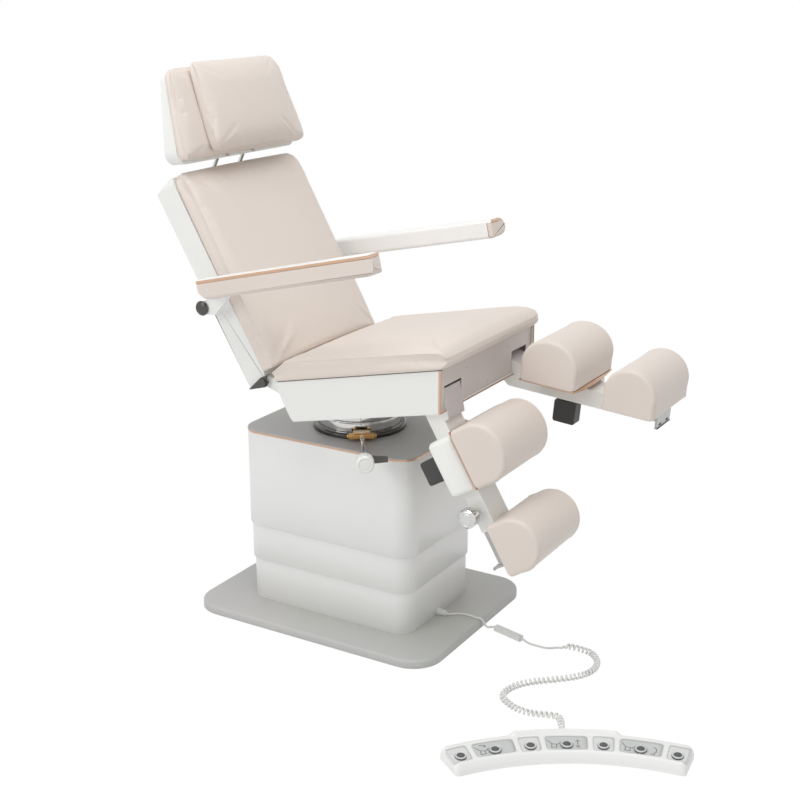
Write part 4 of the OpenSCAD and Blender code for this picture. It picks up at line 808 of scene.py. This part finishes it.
PILLOW_STATIONS = np.array([
    [0, 0.9, 0.02, 0.3, 0.34], [0.03, 0.96, 0.01, 0.5, 0.62], [0.14, 1, 0.01, 0.62, 0.92],
    [0.35, 1, 0.01, 0.62, 1], [0.7, 0.99, 0.01, 0.6, 0.96], [0.9, 0.97, 0.01, 0.52, 0.74],
    [0.975, 0.94, 0.01, 0.36, 0.46], [1, 0.9, 0.05, 0.2, 0.24]])
SWELL_LIMIT = 0.0034
FOAM_PRESSURE, FOAM_FRAMES = 4.0, 20
FOAM_ROWS, FOAM_COLS = 60, 96
AROUND, DOWN, SEAM_POINTS = 150, 110, 900
NEAR_SEAM, END_BULGE = 0.003, 0.0015
SEAM_SHARE = 0.15
SEAM_DEPTH, SEAM_HALF = 0.0011, 0.0016


def eased_line(values, at, where):
    """Smooth values at the places where, through rows given at the places at, that never
    swing past the rows."""
    step = np.diff(at).reshape(-1, *[1] * (values.ndim - 1))
    rise = np.diff(values, axis=0) / step
    before, after = rise[:-1], rise[1:]
    w1, w2 = 2 * step[1:] + step[:-1], step[1:] + 2 * step[:-1]
    same = before * after > 0
    safe_before, safe_after = np.where(same, before, 1), np.where(same, after, 1)
    inner = np.where(same, (w1 + w2) / (w1 / safe_before + w2 / safe_after), 0)
    slope = np.concatenate([rise[:1], inner, rise[-1:]])
    i = np.clip(np.searchsorted(at, where, side="right") - 1, 0, len(at) - 2)
    h = np.diff(at)[i].reshape(-1, *[1] * (values.ndim - 1))
    t = ((where - at[i]) / np.diff(at)[i]).reshape(h.shape)
    return ((2 * t ** 3 - 3 * t ** 2 + 1) * values[i] + (t ** 3 - 2 * t ** 2 + t) * h * slope[i]
            + (3 * t ** 2 - 2 * t ** 3) * values[i + 1] + (t ** 3 - t ** 2) * h * slope[i + 1])


def crowded(points, around, reach, extra):
    """Places with more of them close to each place in around."""
    more = [np.linspace(c - reach, c + reach, extra) for c in around]
    return np.unique(np.clip(np.concatenate([points, *more]), points[0], points[-1]).round(6))


def grid_normals(grid):
    """Outward normals of a grid of closed rings."""
    along = np.gradient(grid, axis=0)
    padded = np.concatenate([grid[:, -1:], grid, grid[:, :1]], axis=1)
    around = (padded[:, 2:] - padded[:, :-2]) / 2
    normal = np.cross(around, along)
    return normal / np.maximum(np.linalg.norm(normal, axis=-1, keepdims=True), 1e-9)


def grooved(grid, line, depth, half_width):
    """Grid sunk along a line of places, as a seam pulls vinyl in."""
    flat = grid.reshape(-1, 3)
    near = np.full(len(flat), np.inf)
    for part in np.array_split(line, max(1, len(line) // 40)):
        gaps = np.linalg.norm(flat[:, None] - part[None], axis=2).min(axis=1)
        near = np.minimum(near, gaps)
    sink = depth * np.exp(-(near / half_width) ** 2)
    return grid - grid_normals(grid) * sink.reshape(grid.shape[:2])[..., None]


def closed_ends(grid, bulge):
    """Grid with each end ring drawn in to its middle over a slight bulge."""
    share = np.array([0.97, 0.9, 0.75, 0.5, 0.25, 0.03])[:, None, None]
    ends = []
    for ring, inner in ((grid[0], grid[1]), (grid[-1], grid[-2])):
        middle = ring.mean(axis=0)
        ahead = unit((ring - inner).mean(axis=0))
        ends.append(middle + (ring - middle) * share + ahead * bulge * (1 - share ** 6))
    return np.concatenate([ends[0][::-1], grid, ends[1]])


def swelled(name, grid, held, limit):
    """How far each point of a grid of closed rings moves when foam blows its vinyl out: a
    cloth simulation, fixed where held is true, that goes no further than the limit."""
    scene = bpy.context.scene
    piece = skin(name, grid)
    fixed = piece.vertex_groups.new(name="held")
    fixed.add(np.flatnonzero(held).tolist(), 1.0, "REPLACE")
    foam = piece.modifiers.new("foam", "CLOTH")
    foam.settings.use_pressure = True
    foam.settings.uniform_pressure_force = FOAM_PRESSURE
    foam.settings.effector_weights.gravity = 0
    foam.settings.vertex_group_mass = "held"
    foam.point_cache.frame_end = FOAM_FRAMES
    for frame in range(1, FOAM_FRAMES + 1):
        scene.frame_set(frame)
    solved = piece.evaluated_get(bpy.context.evaluated_depsgraph_get())
    after = np.empty(grid.size)
    solved.data.vertices.foreach_get("co", after)
    bpy.data.objects.remove(piece, do_unlink=True)
    scene.frame_set(1)
    shift = after.reshape(grid.shape) - grid
    size = np.linalg.norm(shift, axis=-1, keepdims=True)
    return shift * limit * np.tanh(size / limit) / np.maximum(size, 1e-9)


def cushion_grid(name, stations, length, width, height):
    """Surface of a sewn cushion: sections through its stations, swelled by its foam, with
    a seam along both sides at a share of the way from one section point to the next."""
    sizes = stations * [length, width / 2, height, height, height]
    at = sizes[:, 0]
    half, low, side, crown = (column[:, None] for column in sizes.T[1:])
    x = SECTION[:, 0] * half
    z = low + SECTION[:, 1] * (side - low) + SECTION[:, 2] * (crown - side)
    rings = np.stack([x, np.repeat(at[:, None], len(SECTION), axis=1), z], axis=-1)
    wrapped = np.concatenate([rings[:, -2:], rings, rings[:, :2]], axis=1)
    middle = wrapped[len(wrapped) // 2]
    reach = np.concatenate([[0], np.cumsum(np.linalg.norm(np.diff(middle, axis=0), axis=1))])
    start, end = reach[2], reach[2 + len(SECTION)]
    seams = [reach[a] + SEAM_SHARE * (reach[b] - reach[a]) for a, b in ((6, 7), (14, 13))]
    around = crowded(np.linspace(start, end, AROUND), seams + list(reach[3:-3]), NEAR_SEAM, 9)[:-1]
    down = crowded(np.linspace(at[0], at[-1], DOWN), list(at[1:-1]), NEAR_SEAM, 3)
    net = eased_line(wrapped, at, down)
    grid = eased_line(np.moveaxis(net, 1, 0), reach, around)
    line = eased_line(np.moveaxis(net, 1, 0), reach, np.array(seams))
    rows, cols = np.linspace(at[0], at[-1], FOAM_ROWS), np.linspace(start, end, FOAM_COLS + 1)
    coarse = eased_line(np.moveaxis(eased_line(wrapped, at, rows), 1, 0), reach, cols[:-1])
    held = np.ones(coarse.shape[:2], bool)
    held[(cols[:-1] > reach[4]) & (cols[:-1] < reach[16]), 1:-1] = False
    shift = swelled(name, np.moveaxis(coarse, 1, 0), held.T.ravel(), SWELL_LIMIT)
    shift = np.concatenate([shift, shift[:, :1]], axis=1)
    along = np.moveaxis(eased_line(shift, rows, down), 1, 0)
    grid = grid + eased_line(along, cols, around)
    line = line + eased_line(along, cols, np.array(seams))
    dense = [on_route(one, np.linspace(0, run_length(one), SEAM_POINTS)) for one in line]
    grid = np.moveaxis(grid, 1, 0)
    for one in dense:
        grid = grooved(grid, one, SEAM_DEPTH, SEAM_HALF)
    return closed_ends(grid, END_BULGE)


def vinyl(name, shade, roughness=0.46):
    """Upholstery vinyl: a cellular leather grain over a soft drift of tone and creases."""
    material, tree, shader = new_finish(name, roughness)
    shader.inputs["Sheen Weight"].default_value = 0.15
    shader.inputs["Specular IOR Level"].default_value = 0.4
    cells = new_node(tree, "ShaderNodeTexVoronoi", {
        "Vector": new_node(tree, "ShaderNodeTexCoord").outputs["Object"], "Scale": 520},
        feature="DISTANCE_TO_EDGE").outputs["Distance"]
    pore = new_node(tree, "ShaderNodeMapRange", {
        "Value": cells, "From Max": 0.12, "To Min": 0.93})
    shaded = new_node(tree, "ShaderNodeMix", {
        "A": varied_colour(tree, shade, 0.965, 1.03, 4.5, 4), "B": pore.outputs["Result"],
        "Factor": 0.5}, data_type="RGBA", blend_type="MULTIPLY")
    fold = noise_node(tree, 11, 3, (1, 0.6, 1)).outputs["Fac"]
    grain = bumped(tree, cells, 0.35, 0.00025)
    feed(tree, shader, Base_Color=shaded.outputs["Result"],
         Normal=bumped(tree, fold, 0.25, 0.004, grain))
    return material


beige_vinyl = vinyl("beige_vinyl", colour(229, 218, 209))
BACK_HINGE, BACK_LEAN, BACK_FROM_HINGE = (0, 0.1436, 0.6977), -29.36, (0, 0.0512, -0.0014)
BACK = moved(*BACK_HINGE) @ turned_about("X", BACK_LEAN) @ moved(*BACK_FROM_HINGE)
HEAD_AT, HEAD_LEAN = (0, 0.4284, 1.2485), -8
WEDGE_FOOT, WEDGE_TOP, WEDGE_L, PILLOW_RISE = 0.047, 0.014, 0.246, 0.0096
HEAD_SLOPE = math.degrees(math.atan2(WEDGE_FOOT - WEDGE_TOP, WEDGE_L))
PILLOW_SLOPE = math.degrees(math.atan2(PILLOW_RISE, WEDGE_L))
HEAD_FACE = (moved(*HEAD_AT) @ turned_about("X", HEAD_LEAN) @ moved(0, -WEDGE_FOOT)
             @ turned_about("X", 90 - HEAD_SLOPE))
CUSHIONS = (
    ("seat_cushion", "seat", SEAT @ moved(0, -0.018, 0), SEAT_STATIONS, 0.530, 0.541, 0.070),
    ("back_cushion", "back", BACK @ moved(0, -0.066, 0.026) @ turned_about("X", 90),
     BACK_STATIONS, 0.564, 0.512, 0.100),
    ("head_cushion", "head", HEAD_FACE @ moved(0, 0.009, 0), HEAD_STATIONS, 0.237, 0.524, 0.040),
    ("head_pillow", "head", HEAD_FACE @ moved(0, 0.016, 0.044)
     @ turned_about("X", -PILLOW_SLOPE), PILLOW_STATIONS, 0.236, 0.360, 0.054),
)
for node, body, place, stations, length, width, height in CUSHIONS:
    pad = skin(node + "_skin", cushion_grid(node + "_foam", stations, length, width, height))
    dress(put(pad, place), beige_vinyl, body, "vinyl", node)

# Back shell, hinge plates and headrest plate
# White moulded shells behind the cushions; dark steel plates at the back's foot
# take the recline bolts, and two chrome posts carry the headrest.
eased("back_shell", pan_paint, "back", "shell_white", 0.0016)
hinge_steel = metal("hinge_steel", colour(96, 94, 93), 0.35, 240, (1, 1, 10))
eased("hinge_plates", hinge_steel, "back", "dark_steel", 0.0007)
eased("head_posts", chrome, "head_slide", "chrome_steel", 0.0004)
eased("head_plate", pan_paint, "head", "shell_white", 0.0016)

# Armrests
# A white moulded core with a copper strip let into its outer side, a beige
# padded cover round the nose and outer face, and a dark chromed pivot knob.
ARM_OUT, ARM_W, ARM_UP = 0.345, 0.055, 0.246
ARM_CORE, ARM_CAP_END = 0.032, 0.114
ARM_LIFT = {"right": 1.2, "left": 0}
PAD_TOP, STRIP_H, SEAM_W = 0.043, 0.008, 0.005
REACH = 0.0001
STRAP_OUT = 0.0083
arm_white = painted("arm_white", colour(246, 246, 244), 0.32, 700, coat=0.2)


def face_values(piece, kind):
    """The center or the normal of each face, as the kind says, in rows of x, y and z."""
    values = np.empty(len(piece.data.polygons) * 3)
    piece.data.polygons.foreach_get(kind, values)
    return values.reshape(-1, 3)


def add_finish(piece, material, chosen):
    """Gives the chosen faces of a piece a second finish."""
    piece.data.materials.append(material)
    piece.data.polygons.foreach_set("material_index", chosen.astype(int))
    piece.data.update()


def to_local(points, matrix):
    """World places in the frame that the matrix stands for."""
    return (points - matrix[:3, 3]) @ np.linalg.inv(matrix[:3, :3]).T


for name, side in (("right", -1), ("left", 1)):
    flip = np.diag([side, 1, 1, 1]).astype(float)
    low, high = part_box(name + "_arm_knob")
    pin_y, pin_z = (low[1] + high[1]) / 2, (low[2] + high[2]) / 2
    arm_place = (flip @ moved(0, pin_y, pin_z) @ turned_about("X", -ARM_LIFT[name])
                 @ moved(0, -pin_y, -pin_z) @ SEAT)
    shell = eased(f"{name}_arm_shell", arm_white, f"{name}_arm", "shell_white", 0.0006)
    x, y, z = to_local(face_values(shell, "center"), arm_place).T
    high = z - ARM_UP
    outside = (x > ARM_OUT - ARM_W + ARM_CORE) | (y < ARM_CAP_END - 2 * REACH)
    strip = (high > PAD_TOP - REACH) & (high < PAD_TOP + STRIP_H + REACH) & outside
    seam = ((high > 0) & (high < PAD_TOP) & (y > ARM_CAP_END - SEAM_W)
            & (y < ARM_CAP_END - 2 * REACH))
    add_finish(shell, copper_metal, strip | seam)
    pad = add_bevel(merged_copy(f"{name}_arm_pad", f"{name}_arm_pad_skin"), 0.0022, 4)
    dress(pad, beige_vinyl, f"{name}_arm", "vinyl", f"{name}_arm_pad")
    knob_x = ARM_OUT - ARM_W + STRAP_OUT
    disc = turned(f"{name}_arm_knob_skin", rounded_profile([
        (0, 0.0062), (0.0061, 0.0062), (0.0061, 0), (0.016, 0), (0.020, 0.0025), (0.020, 0.0045),
        (0.0175, 0.0075), (0.0150, 0.0090), (0.0140, 0.0082), (0.0116, 0.0082),
        (0.0108, 0.0088), (0, 0.0090)], 0.0008), 96)
    put(disc, flip @ moved(knob_x, pin_y, pin_z) @ turned_about("Y", 90))
    dress(disc, dark_chrome, f"{name}_arm_lock", "dark_steel", f"{name}_arm_knob")

# Legs
# Each leg is a square tube on a knuckle with a white side cover, a dark release
# lever, a copper tray under the upper cushion, and a steel slide with a knob.
LEG_DROP = {"right": 59.6, "left": 5.0}
LEG_HINGE_Y, LEG_HINGE_Z = -0.381, 0.732
TUBE_OUT, TUBE_TOP_N = 0.228, -0.0157
CALF_IN, CALF_OUT = 0.021, 0.272
CALF_H, CALF_SIDE_H, CALF_EDGE = 0.118, 0.049, 0.006
CALF_EASE, CALF_SEAM_IN = 0.009, 0.003
UPPER_AT = {"right": 0.084, "left": 0.093}
LOWER_AT = {"right": 0.333, "left": 0.325}
UPPER_L, LOWER_L, TRAY_N = 0.157, 0.140, 0.009
KNUCKLE_END, LIP_FROM, LIP_N = 0.0575, 0.425, -0.0733
LOCK_AT, LOCK_N = 0.298, -0.052
cover_paint = painted("cover_paint", colour(246, 246, 242), 0.33, 700, coat=0.15)
# Painted shade: a greyer white for the knuckle faces that do not face sideways, in place of the
# shade on them.
knuckle_painted_shade = painted("knuckle_painted_shade", colour(208, 202, 201), 0.34, 900, coat=0.1)
lever_plastic = painted("lever_plastic", colour(66, 65, 64), 0.5, 1600, relief=0.00008)


def calf_ring(x, length, inset, steps=30):
    """D-shaped ring across the leg at x: a flat foot, straight sides and a round top."""
    corner = np.linspace(0, np.pi / 2, 5)
    share = np.linspace(0, 1, 6)[1:-1]
    turn = np.linspace(0, np.pi, steps)
    foot = np.stack([inset + CALF_EDGE * (1 - np.sin(corner)),
                     CALF_EDGE * (1 - np.cos(corner))], axis=1)
    rise = np.stack([inset + 0.0012 * np.sin(np.pi * share),
                     CALF_EDGE + share * (CALF_SIDE_H - CALF_EDGE)], axis=1)
    top = np.stack([length / 2 - (length / 2 - inset) * np.cos(turn),
                    CALF_SIDE_H + (CALF_H - CALF_SIDE_H - inset) * np.sin(turn)], axis=1)
    near = np.concatenate([foot, rise])
    far = near[::-1] * [-1, 1] + [length, 0]
    along, up = np.concatenate([near, top, far]).T
    return np.column_stack([np.full(len(up), x), -along, up])


def calf_grid(name, length):
    """Rings of a calf cushion across the leg, with rounded ends and a seam near each,
    swelled by its foam above its flat foot."""
    turn = np.linspace(0, np.pi / 2, 8)
    near = CALF_EASE * (1 - np.stack([np.cos(turn), np.sin(turn)]))
    flat_in, flat_out = CALF_IN + CALF_EASE, CALF_OUT - CALF_EASE
    seams = flat_in + CALF_SEAM_IN, flat_out - CALF_SEAM_IN
    middle = crowded(np.linspace(flat_in, flat_out, 24), seams, CALF_SEAM_IN, 9)[1:-1]
    places = np.concatenate([CALF_IN + near[0], middle, CALF_OUT - near[0][::-1]])
    insets = np.concatenate([near[1], 0 * middle, near[1][::-1]])
    grid = np.array([calf_ring(x, length, inset) for x, inset in zip(places, insets)])
    held = grid[..., 2] < CALF_EDGE + 0.001
    held[[0, -1]] = True
    grid = grid + swelled(name, grid, held.ravel(), SWELL_LIMIT / 2)
    for x in seams:
        grid = grooved(grid[:, ::-1], calf_ring(x, length, 0, 200), 0.0010, 0.0014)[:, ::-1]
    return closed_ends(grid, 0.002)


for name, side in (("right", -1), ("left", 1)):
    flip = np.diag([side, 1, 1, 1]).astype(float)
    leg = flip @ moved(0, LEG_HINGE_Y, LEG_HINGE_Z) @ turned_about("X", LEG_DROP[name])
    body = f"{name}_leg"
    beam = eased(f"{name}_leg_beam", cover_paint, body, "shell_white", 0.0010)
    # The knuckle's faces that do not face sideways get the greyer paint: painted shade for the
    # shade on its front.
    knuckle = -to_local(face_values(beam, "center"), leg)[:, 1] < KNUCKLE_END
    add_finish(beam, knuckle_painted_shade, knuckle & (np.abs(face_values(beam, "normal")[:, 0]) < 0.5))
    eased(f"{name}_leg_cover", cover_paint, body, "shell_white", 0.0010)
    eased(f"{name}_leg_tray", copper_metal, body, "copper_trim", 0.0006)
    eased(f"{name}_leg_lever", lever_plastic, f"{name}_leg_release", "dark_steel", 0.0014)
    slide = eased(f"{name}_leg_carriage", steel_bare, f"{name}_leg_slide", "bare_steel", 0.0006)
    x, y, z = to_local(face_values(slide, "center"), leg).T
    add_finish(slide, lever_plastic, (z < LIP_N) & (-y > LIP_FROM))
    for part, body_name, at, length, up in (
            ("upper", body, UPPER_AT[name], UPPER_L, TRAY_N),
            ("lower", f"{name}_leg_slide", LOWER_AT[name], LOWER_L, TUBE_TOP_N)):
        calf = skin(f"{name}_calf_{part}_skin", calf_grid(f"{name}_calf_{part}_foam", length))
        put(calf, leg @ moved(0, -at, up))
        dress(calf, beige_vinyl, body_name, "vinyl", f"{name}_calf_{part}")
    lock = turned(f"{name}_leg_knob_skin", rounded_profile([
        (0, -0.0015), (0.005, -0.0015), (0.005, 0.008), (0.014, 0.008), (0.014, 0.016),
        (0.0062, 0.017), (0.0062, 0.022), (0.019, 0.022), (0.025, 0.025), (0.025, 0.048),
        (0.0205, 0.0535), (0.0175, 0.054), (0.0172, 0.0528), (0.0146, 0.0528),
        (0.0140, 0.0540), (0, 0.0540)], 0.0009), 96)
    put(lock, leg @ moved(TUBE_OUT, -LOCK_AT, LOCK_N) @ turned_about("Y", 90))
    dress(lock, chrome, f"{name}_leg_lock", "chrome_steel", f"{name}_leg_knob")

# Foot switch
# A low curved housing with sloping sides and a raised rear hump; grey film pads
# with plain chair pictograms, and seven rubber domes in round wells.
SWITCH = moved(-1.027, -1.196, 0) @ turned_about("Z", 31)
SWITCH_HALF = 24.5
BUTTON_ROW = 0.660
BUTTON_STEP = 7.37
BUTTON_R = 0.013
WELL_R = 0.0134
WELL_FLOOR, WELL_TOP = 0.01955, 0.06
HUMP_HALF, HUMP_BLEND = 11.0, 1.4
MIDDLE_HALF, MIDDLE_RINGS = 22, 121
END_NARROW, END_LOW = 0.84, 0.35
SWITCH_SPINE = 0.670
LARGE_FILM = (0.050, -0.0155, 0.0335)
SMALL_FILM = (0.0255, -0.0165, 0.0345)
FILM_POWER = 2 / 9
FILM_EDGE = 0.0008
PICTURE_LINE, PICTURE_LIFT = 0.0016, 0.0007
PLAIN_PROFILE = np.array([
    (625, 0), (630, 12.05), (640, 24.09), (698, 32.56), (701, 33), (706, 32), (711, 30),
    (714.5, 25.5), (716, 21), (716, 0)]) * MM
HUMP_PROFILE = np.array([
    (625, 0), (630, 12.05), (640, 24.09), (698, 32.56), (699.5, 33.6), (707, 40.2), (710, 41),
    (714, 37), (715.9, 32), (716, 0)]) * MM
END_EASE = 0.016


def switch_top(r):
    """Height of the housing's sloping top at a radius."""
    (near_r, near_z), (far_r, far_z) = PLAIN_PROFILE[2:4]
    return near_z + (r - near_r) * (far_z - near_z) / (far_r - near_r)


def switch_body():
    """Housing swept along its arc, with rounded ends and the hump blended in."""
    near = 1 - np.cos(np.linspace(0, np.pi / 2, 9))
    reach = math.degrees(END_EASE / BUTTON_ROW)
    middle = np.linspace(-MIDDLE_HALF, MIDDLE_HALF, MIDDLE_RINGS)
    turn = np.concatenate([-SWITCH_HALF + near * reach, middle,
                           SWITCH_HALF - near[::-1] * reach])
    share = np.clip((HUMP_HALF - np.abs(turn)) / HUMP_BLEND, 0, 1)
    share = share ** 2 * (3 - 2 * share)
    inward = np.clip((SWITCH_HALF - np.abs(turn)) / reach, 0, 1)
    full = np.sqrt(1 - (1 - inward) ** 2)
    rows = []
    for angle, hump, f in zip(np.radians(turn), share, full):
        line = PLAIN_PROFILE * (1 - hump) + HUMP_PROFILE * hump
        line = np.array(rounded_profile(line, 0.005, 3))
        r = SWITCH_SPINE + (line[:, 0] - SWITCH_SPINE) * (END_NARROW + (1 - END_NARROW) * f)
        z = line[:, 1] * (END_LOW + (1 - END_LOW) * f)
        rows.append(np.column_stack([r * math.cos(angle), r * math.sin(angle), z]))
    return skin("switch_body", np.array(rows))


def on_switch(k, u, v):
    """Place in the switch's frame from u to the right and v to the rear of button k."""
    r = BUTTON_ROW + v
    angle = np.radians(-k * BUTTON_STEP) - u / BUTTON_ROW
    return r * np.cos(angle), r * np.sin(angle), r


def button_place(k):
    """Move to the middle of button k in the switch's frame."""
    x, y, _ = on_switch(k, 0.0, 0.0)
    return moved(float(x), float(y))


def film(name, k, half_u, low_v, high_v, lift, hole=WELL_R + 0.0004, steps=96):
    """Thin pad about button k's well, with a rounded rectangular outline."""
    turn = np.linspace(0, 2 * np.pi, steps, endpoint=False)
    c, s = np.cos(turn), np.sin(turn)
    outer_u = half_u * np.sign(c) * np.abs(c) ** FILM_POWER
    outer_v = (high_v + low_v) / 2 + (high_v - low_v) / 2 * np.sign(s) * np.abs(s) ** FILM_POWER
    rows = []
    for share in (0, 0, 0.25, 0.5, 0.75, 0.995, 1):
        drop = FILM_EDGE if share == 1 or not rows else 0
        u = hole * c * (1 - share) + outer_u * share
        v = hole * s * (1 - share) + outer_v * share
        x, y, r = on_switch(k, u, v)
        rows.append(np.column_stack([x, y, switch_top(r) + lift - drop]))
    return skin(name, np.array(rows), caps=False)


def strokes(name, k, lines, width, lift):
    """Flat printed lines about button k, from lists of (u, v) places in millimetres."""
    points, faces = [], []
    for line in lines:
        line = np.array(line, float) * MM
        way = unit(np.gradient(line, axis=0))
        side = np.stack([-way[:, 1], way[:, 0]], axis=1) * width / 2
        first = len(points)
        for edge in (line + side, line - side):
            x, y, r = on_switch(k, edge[:, 0], edge[:, 1])
            points += np.column_stack([x, y, switch_top(r) + lift]).tolist()
        n = len(line)
        faces += (first + grid_faces(2, n, close_cols=False)).tolist()
    return link_mesh(name, points, faces)


def arc_line(u, v, radius, start, end, steps=14):
    """Places on an arc in millimetres."""
    turn = np.radians(np.linspace(start, end, steps))
    return np.column_stack([u + radius * np.cos(turn), v + radius * np.sin(turn)]).tolist()


switch_plastic = painted("switch_plastic", colour(243, 243, 241), 0.4, 700, coat=0.1)
film_grey = painted("film_grey", colour(206, 209, 208), 0.3, 1100)
film_line = painted("film_line", colour(158, 161, 160), 0.35, 1100)
film_pale = painted("film_pale", colour(226, 228, 227), 0.3, 1100)
print_grey = painted("print_grey", colour(96, 97, 98), 0.4, 1100)
rubber = painted("rubber", colour(92, 92, 93), 0.62, 1300, relief=0.0001)
collar_grey = painted("collar_grey", colour(214, 216, 215), 0.34, 900)

wells = []
for k in range(-3, 4):
    well = turned(f"well_{k}", [(0, WELL_FLOOR), (WELL_R, WELL_FLOOR), (WELL_R, WELL_TOP),
                                (0, WELL_TOP)], 64)
    wells.append(put(well, button_place(k)))
wells = joined("wells", wells)
body = switch_body()
hole = body.modifiers.new("wells", "BOOLEAN")
hole.operation = "DIFFERENCE"
hole.solver = "EXACT"
hole.object = wells
body = joined("foot_switch_skin", [body])
bpy.data.objects.remove(wells)
body.data.set_sharp_from_angle(angle=math.radians(40))
dress(put(body, SWITCH), switch_plastic, "base", "shell_white", "foot_switch")

CHAIR = [[(-44, 20), (-34, 5), (-20, 3)], [(-34, 5), (-36, -6)], [(-20, 3), (-14, 9)],
         [(-38, -7), (-22, -7)], [(-24, 3), (-24, -7)]]
PICTURES = {
    -2: CHAIR + [arc_line(-30, 6, 17, 96, 40), [(-20.5, 23), (-16.5, 17.5), (-23, 16.5)]],
    0: CHAIR + [[(26, -8), (26, 18)], [(21, 12), (26, 18), (31, 12)],
                [(21, -2), (26, -8), (31, -2)]],
    2: CHAIR + [arc_line(24, 4, 12, 70, -60), [(34, -12), (29.5, -6.5), (24.5, -11)]],
}
for k in range(-3, 4):
    large = k in PICTURES
    half_u, low_v, high_v = LARGE_FILM if large else SMALL_FILM
    for layer, (inset, lift, paint) in enumerate((
            (0.0, 0.0003, film_pale), (0.0025, 0.00042, film_line),
            (0.0032, 0.00054, film_grey if large else film_pale))):
        sheet = film(f"switch_film_{k + 4}_{layer}", k, half_u - inset, low_v + inset * 0.8,
                     high_v - inset, lift)
        dress(put(sheet, SWITCH), paint, "base", "shell_white")
    if large:
        picture = strokes(f"switch_picture_{k + 4}", k, PICTURES[k], PICTURE_LINE, PICTURE_LIFT)
        dress(put(picture, SWITCH), print_grey, "base", "dark_steel")

for number in range(1, 8):
    low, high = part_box(f"foot_button_{number}")
    top = high[2]
    place = SWITCH @ button_place(number - 4)
    rim = turned(f"button_{number}_rim", rounded_profile([
        (0.0091, top - 0.007), (BUTTON_R, top - 0.007), (BUTTON_R, top - 0.0048),
        (0.0118, top - 0.0040), (0.0098, top - 0.0040), (0.0091, top - 0.0052),
        (0.0091, top - 0.007)], 0.0006), 64)
    dome = [(0.0094 * math.sin(a), top - 0.0052 * (1 - math.cos(a)))
            for a in np.linspace(np.pi / 2, 0.02, 10)]
    cap = turned(f"button_{number}_dome", [
        (0, low[2]), (BUTTON_R, low[2]), (BUTTON_R, top - 0.0072), (0.0092, top - 0.0072),
        *dome], 64)
    for part, finish in ((rim, collar_grey), (cap, rubber)):
        dress(put(part, place), finish, f"button_{number}", "button_steel",
              f"foot_button_{number}")
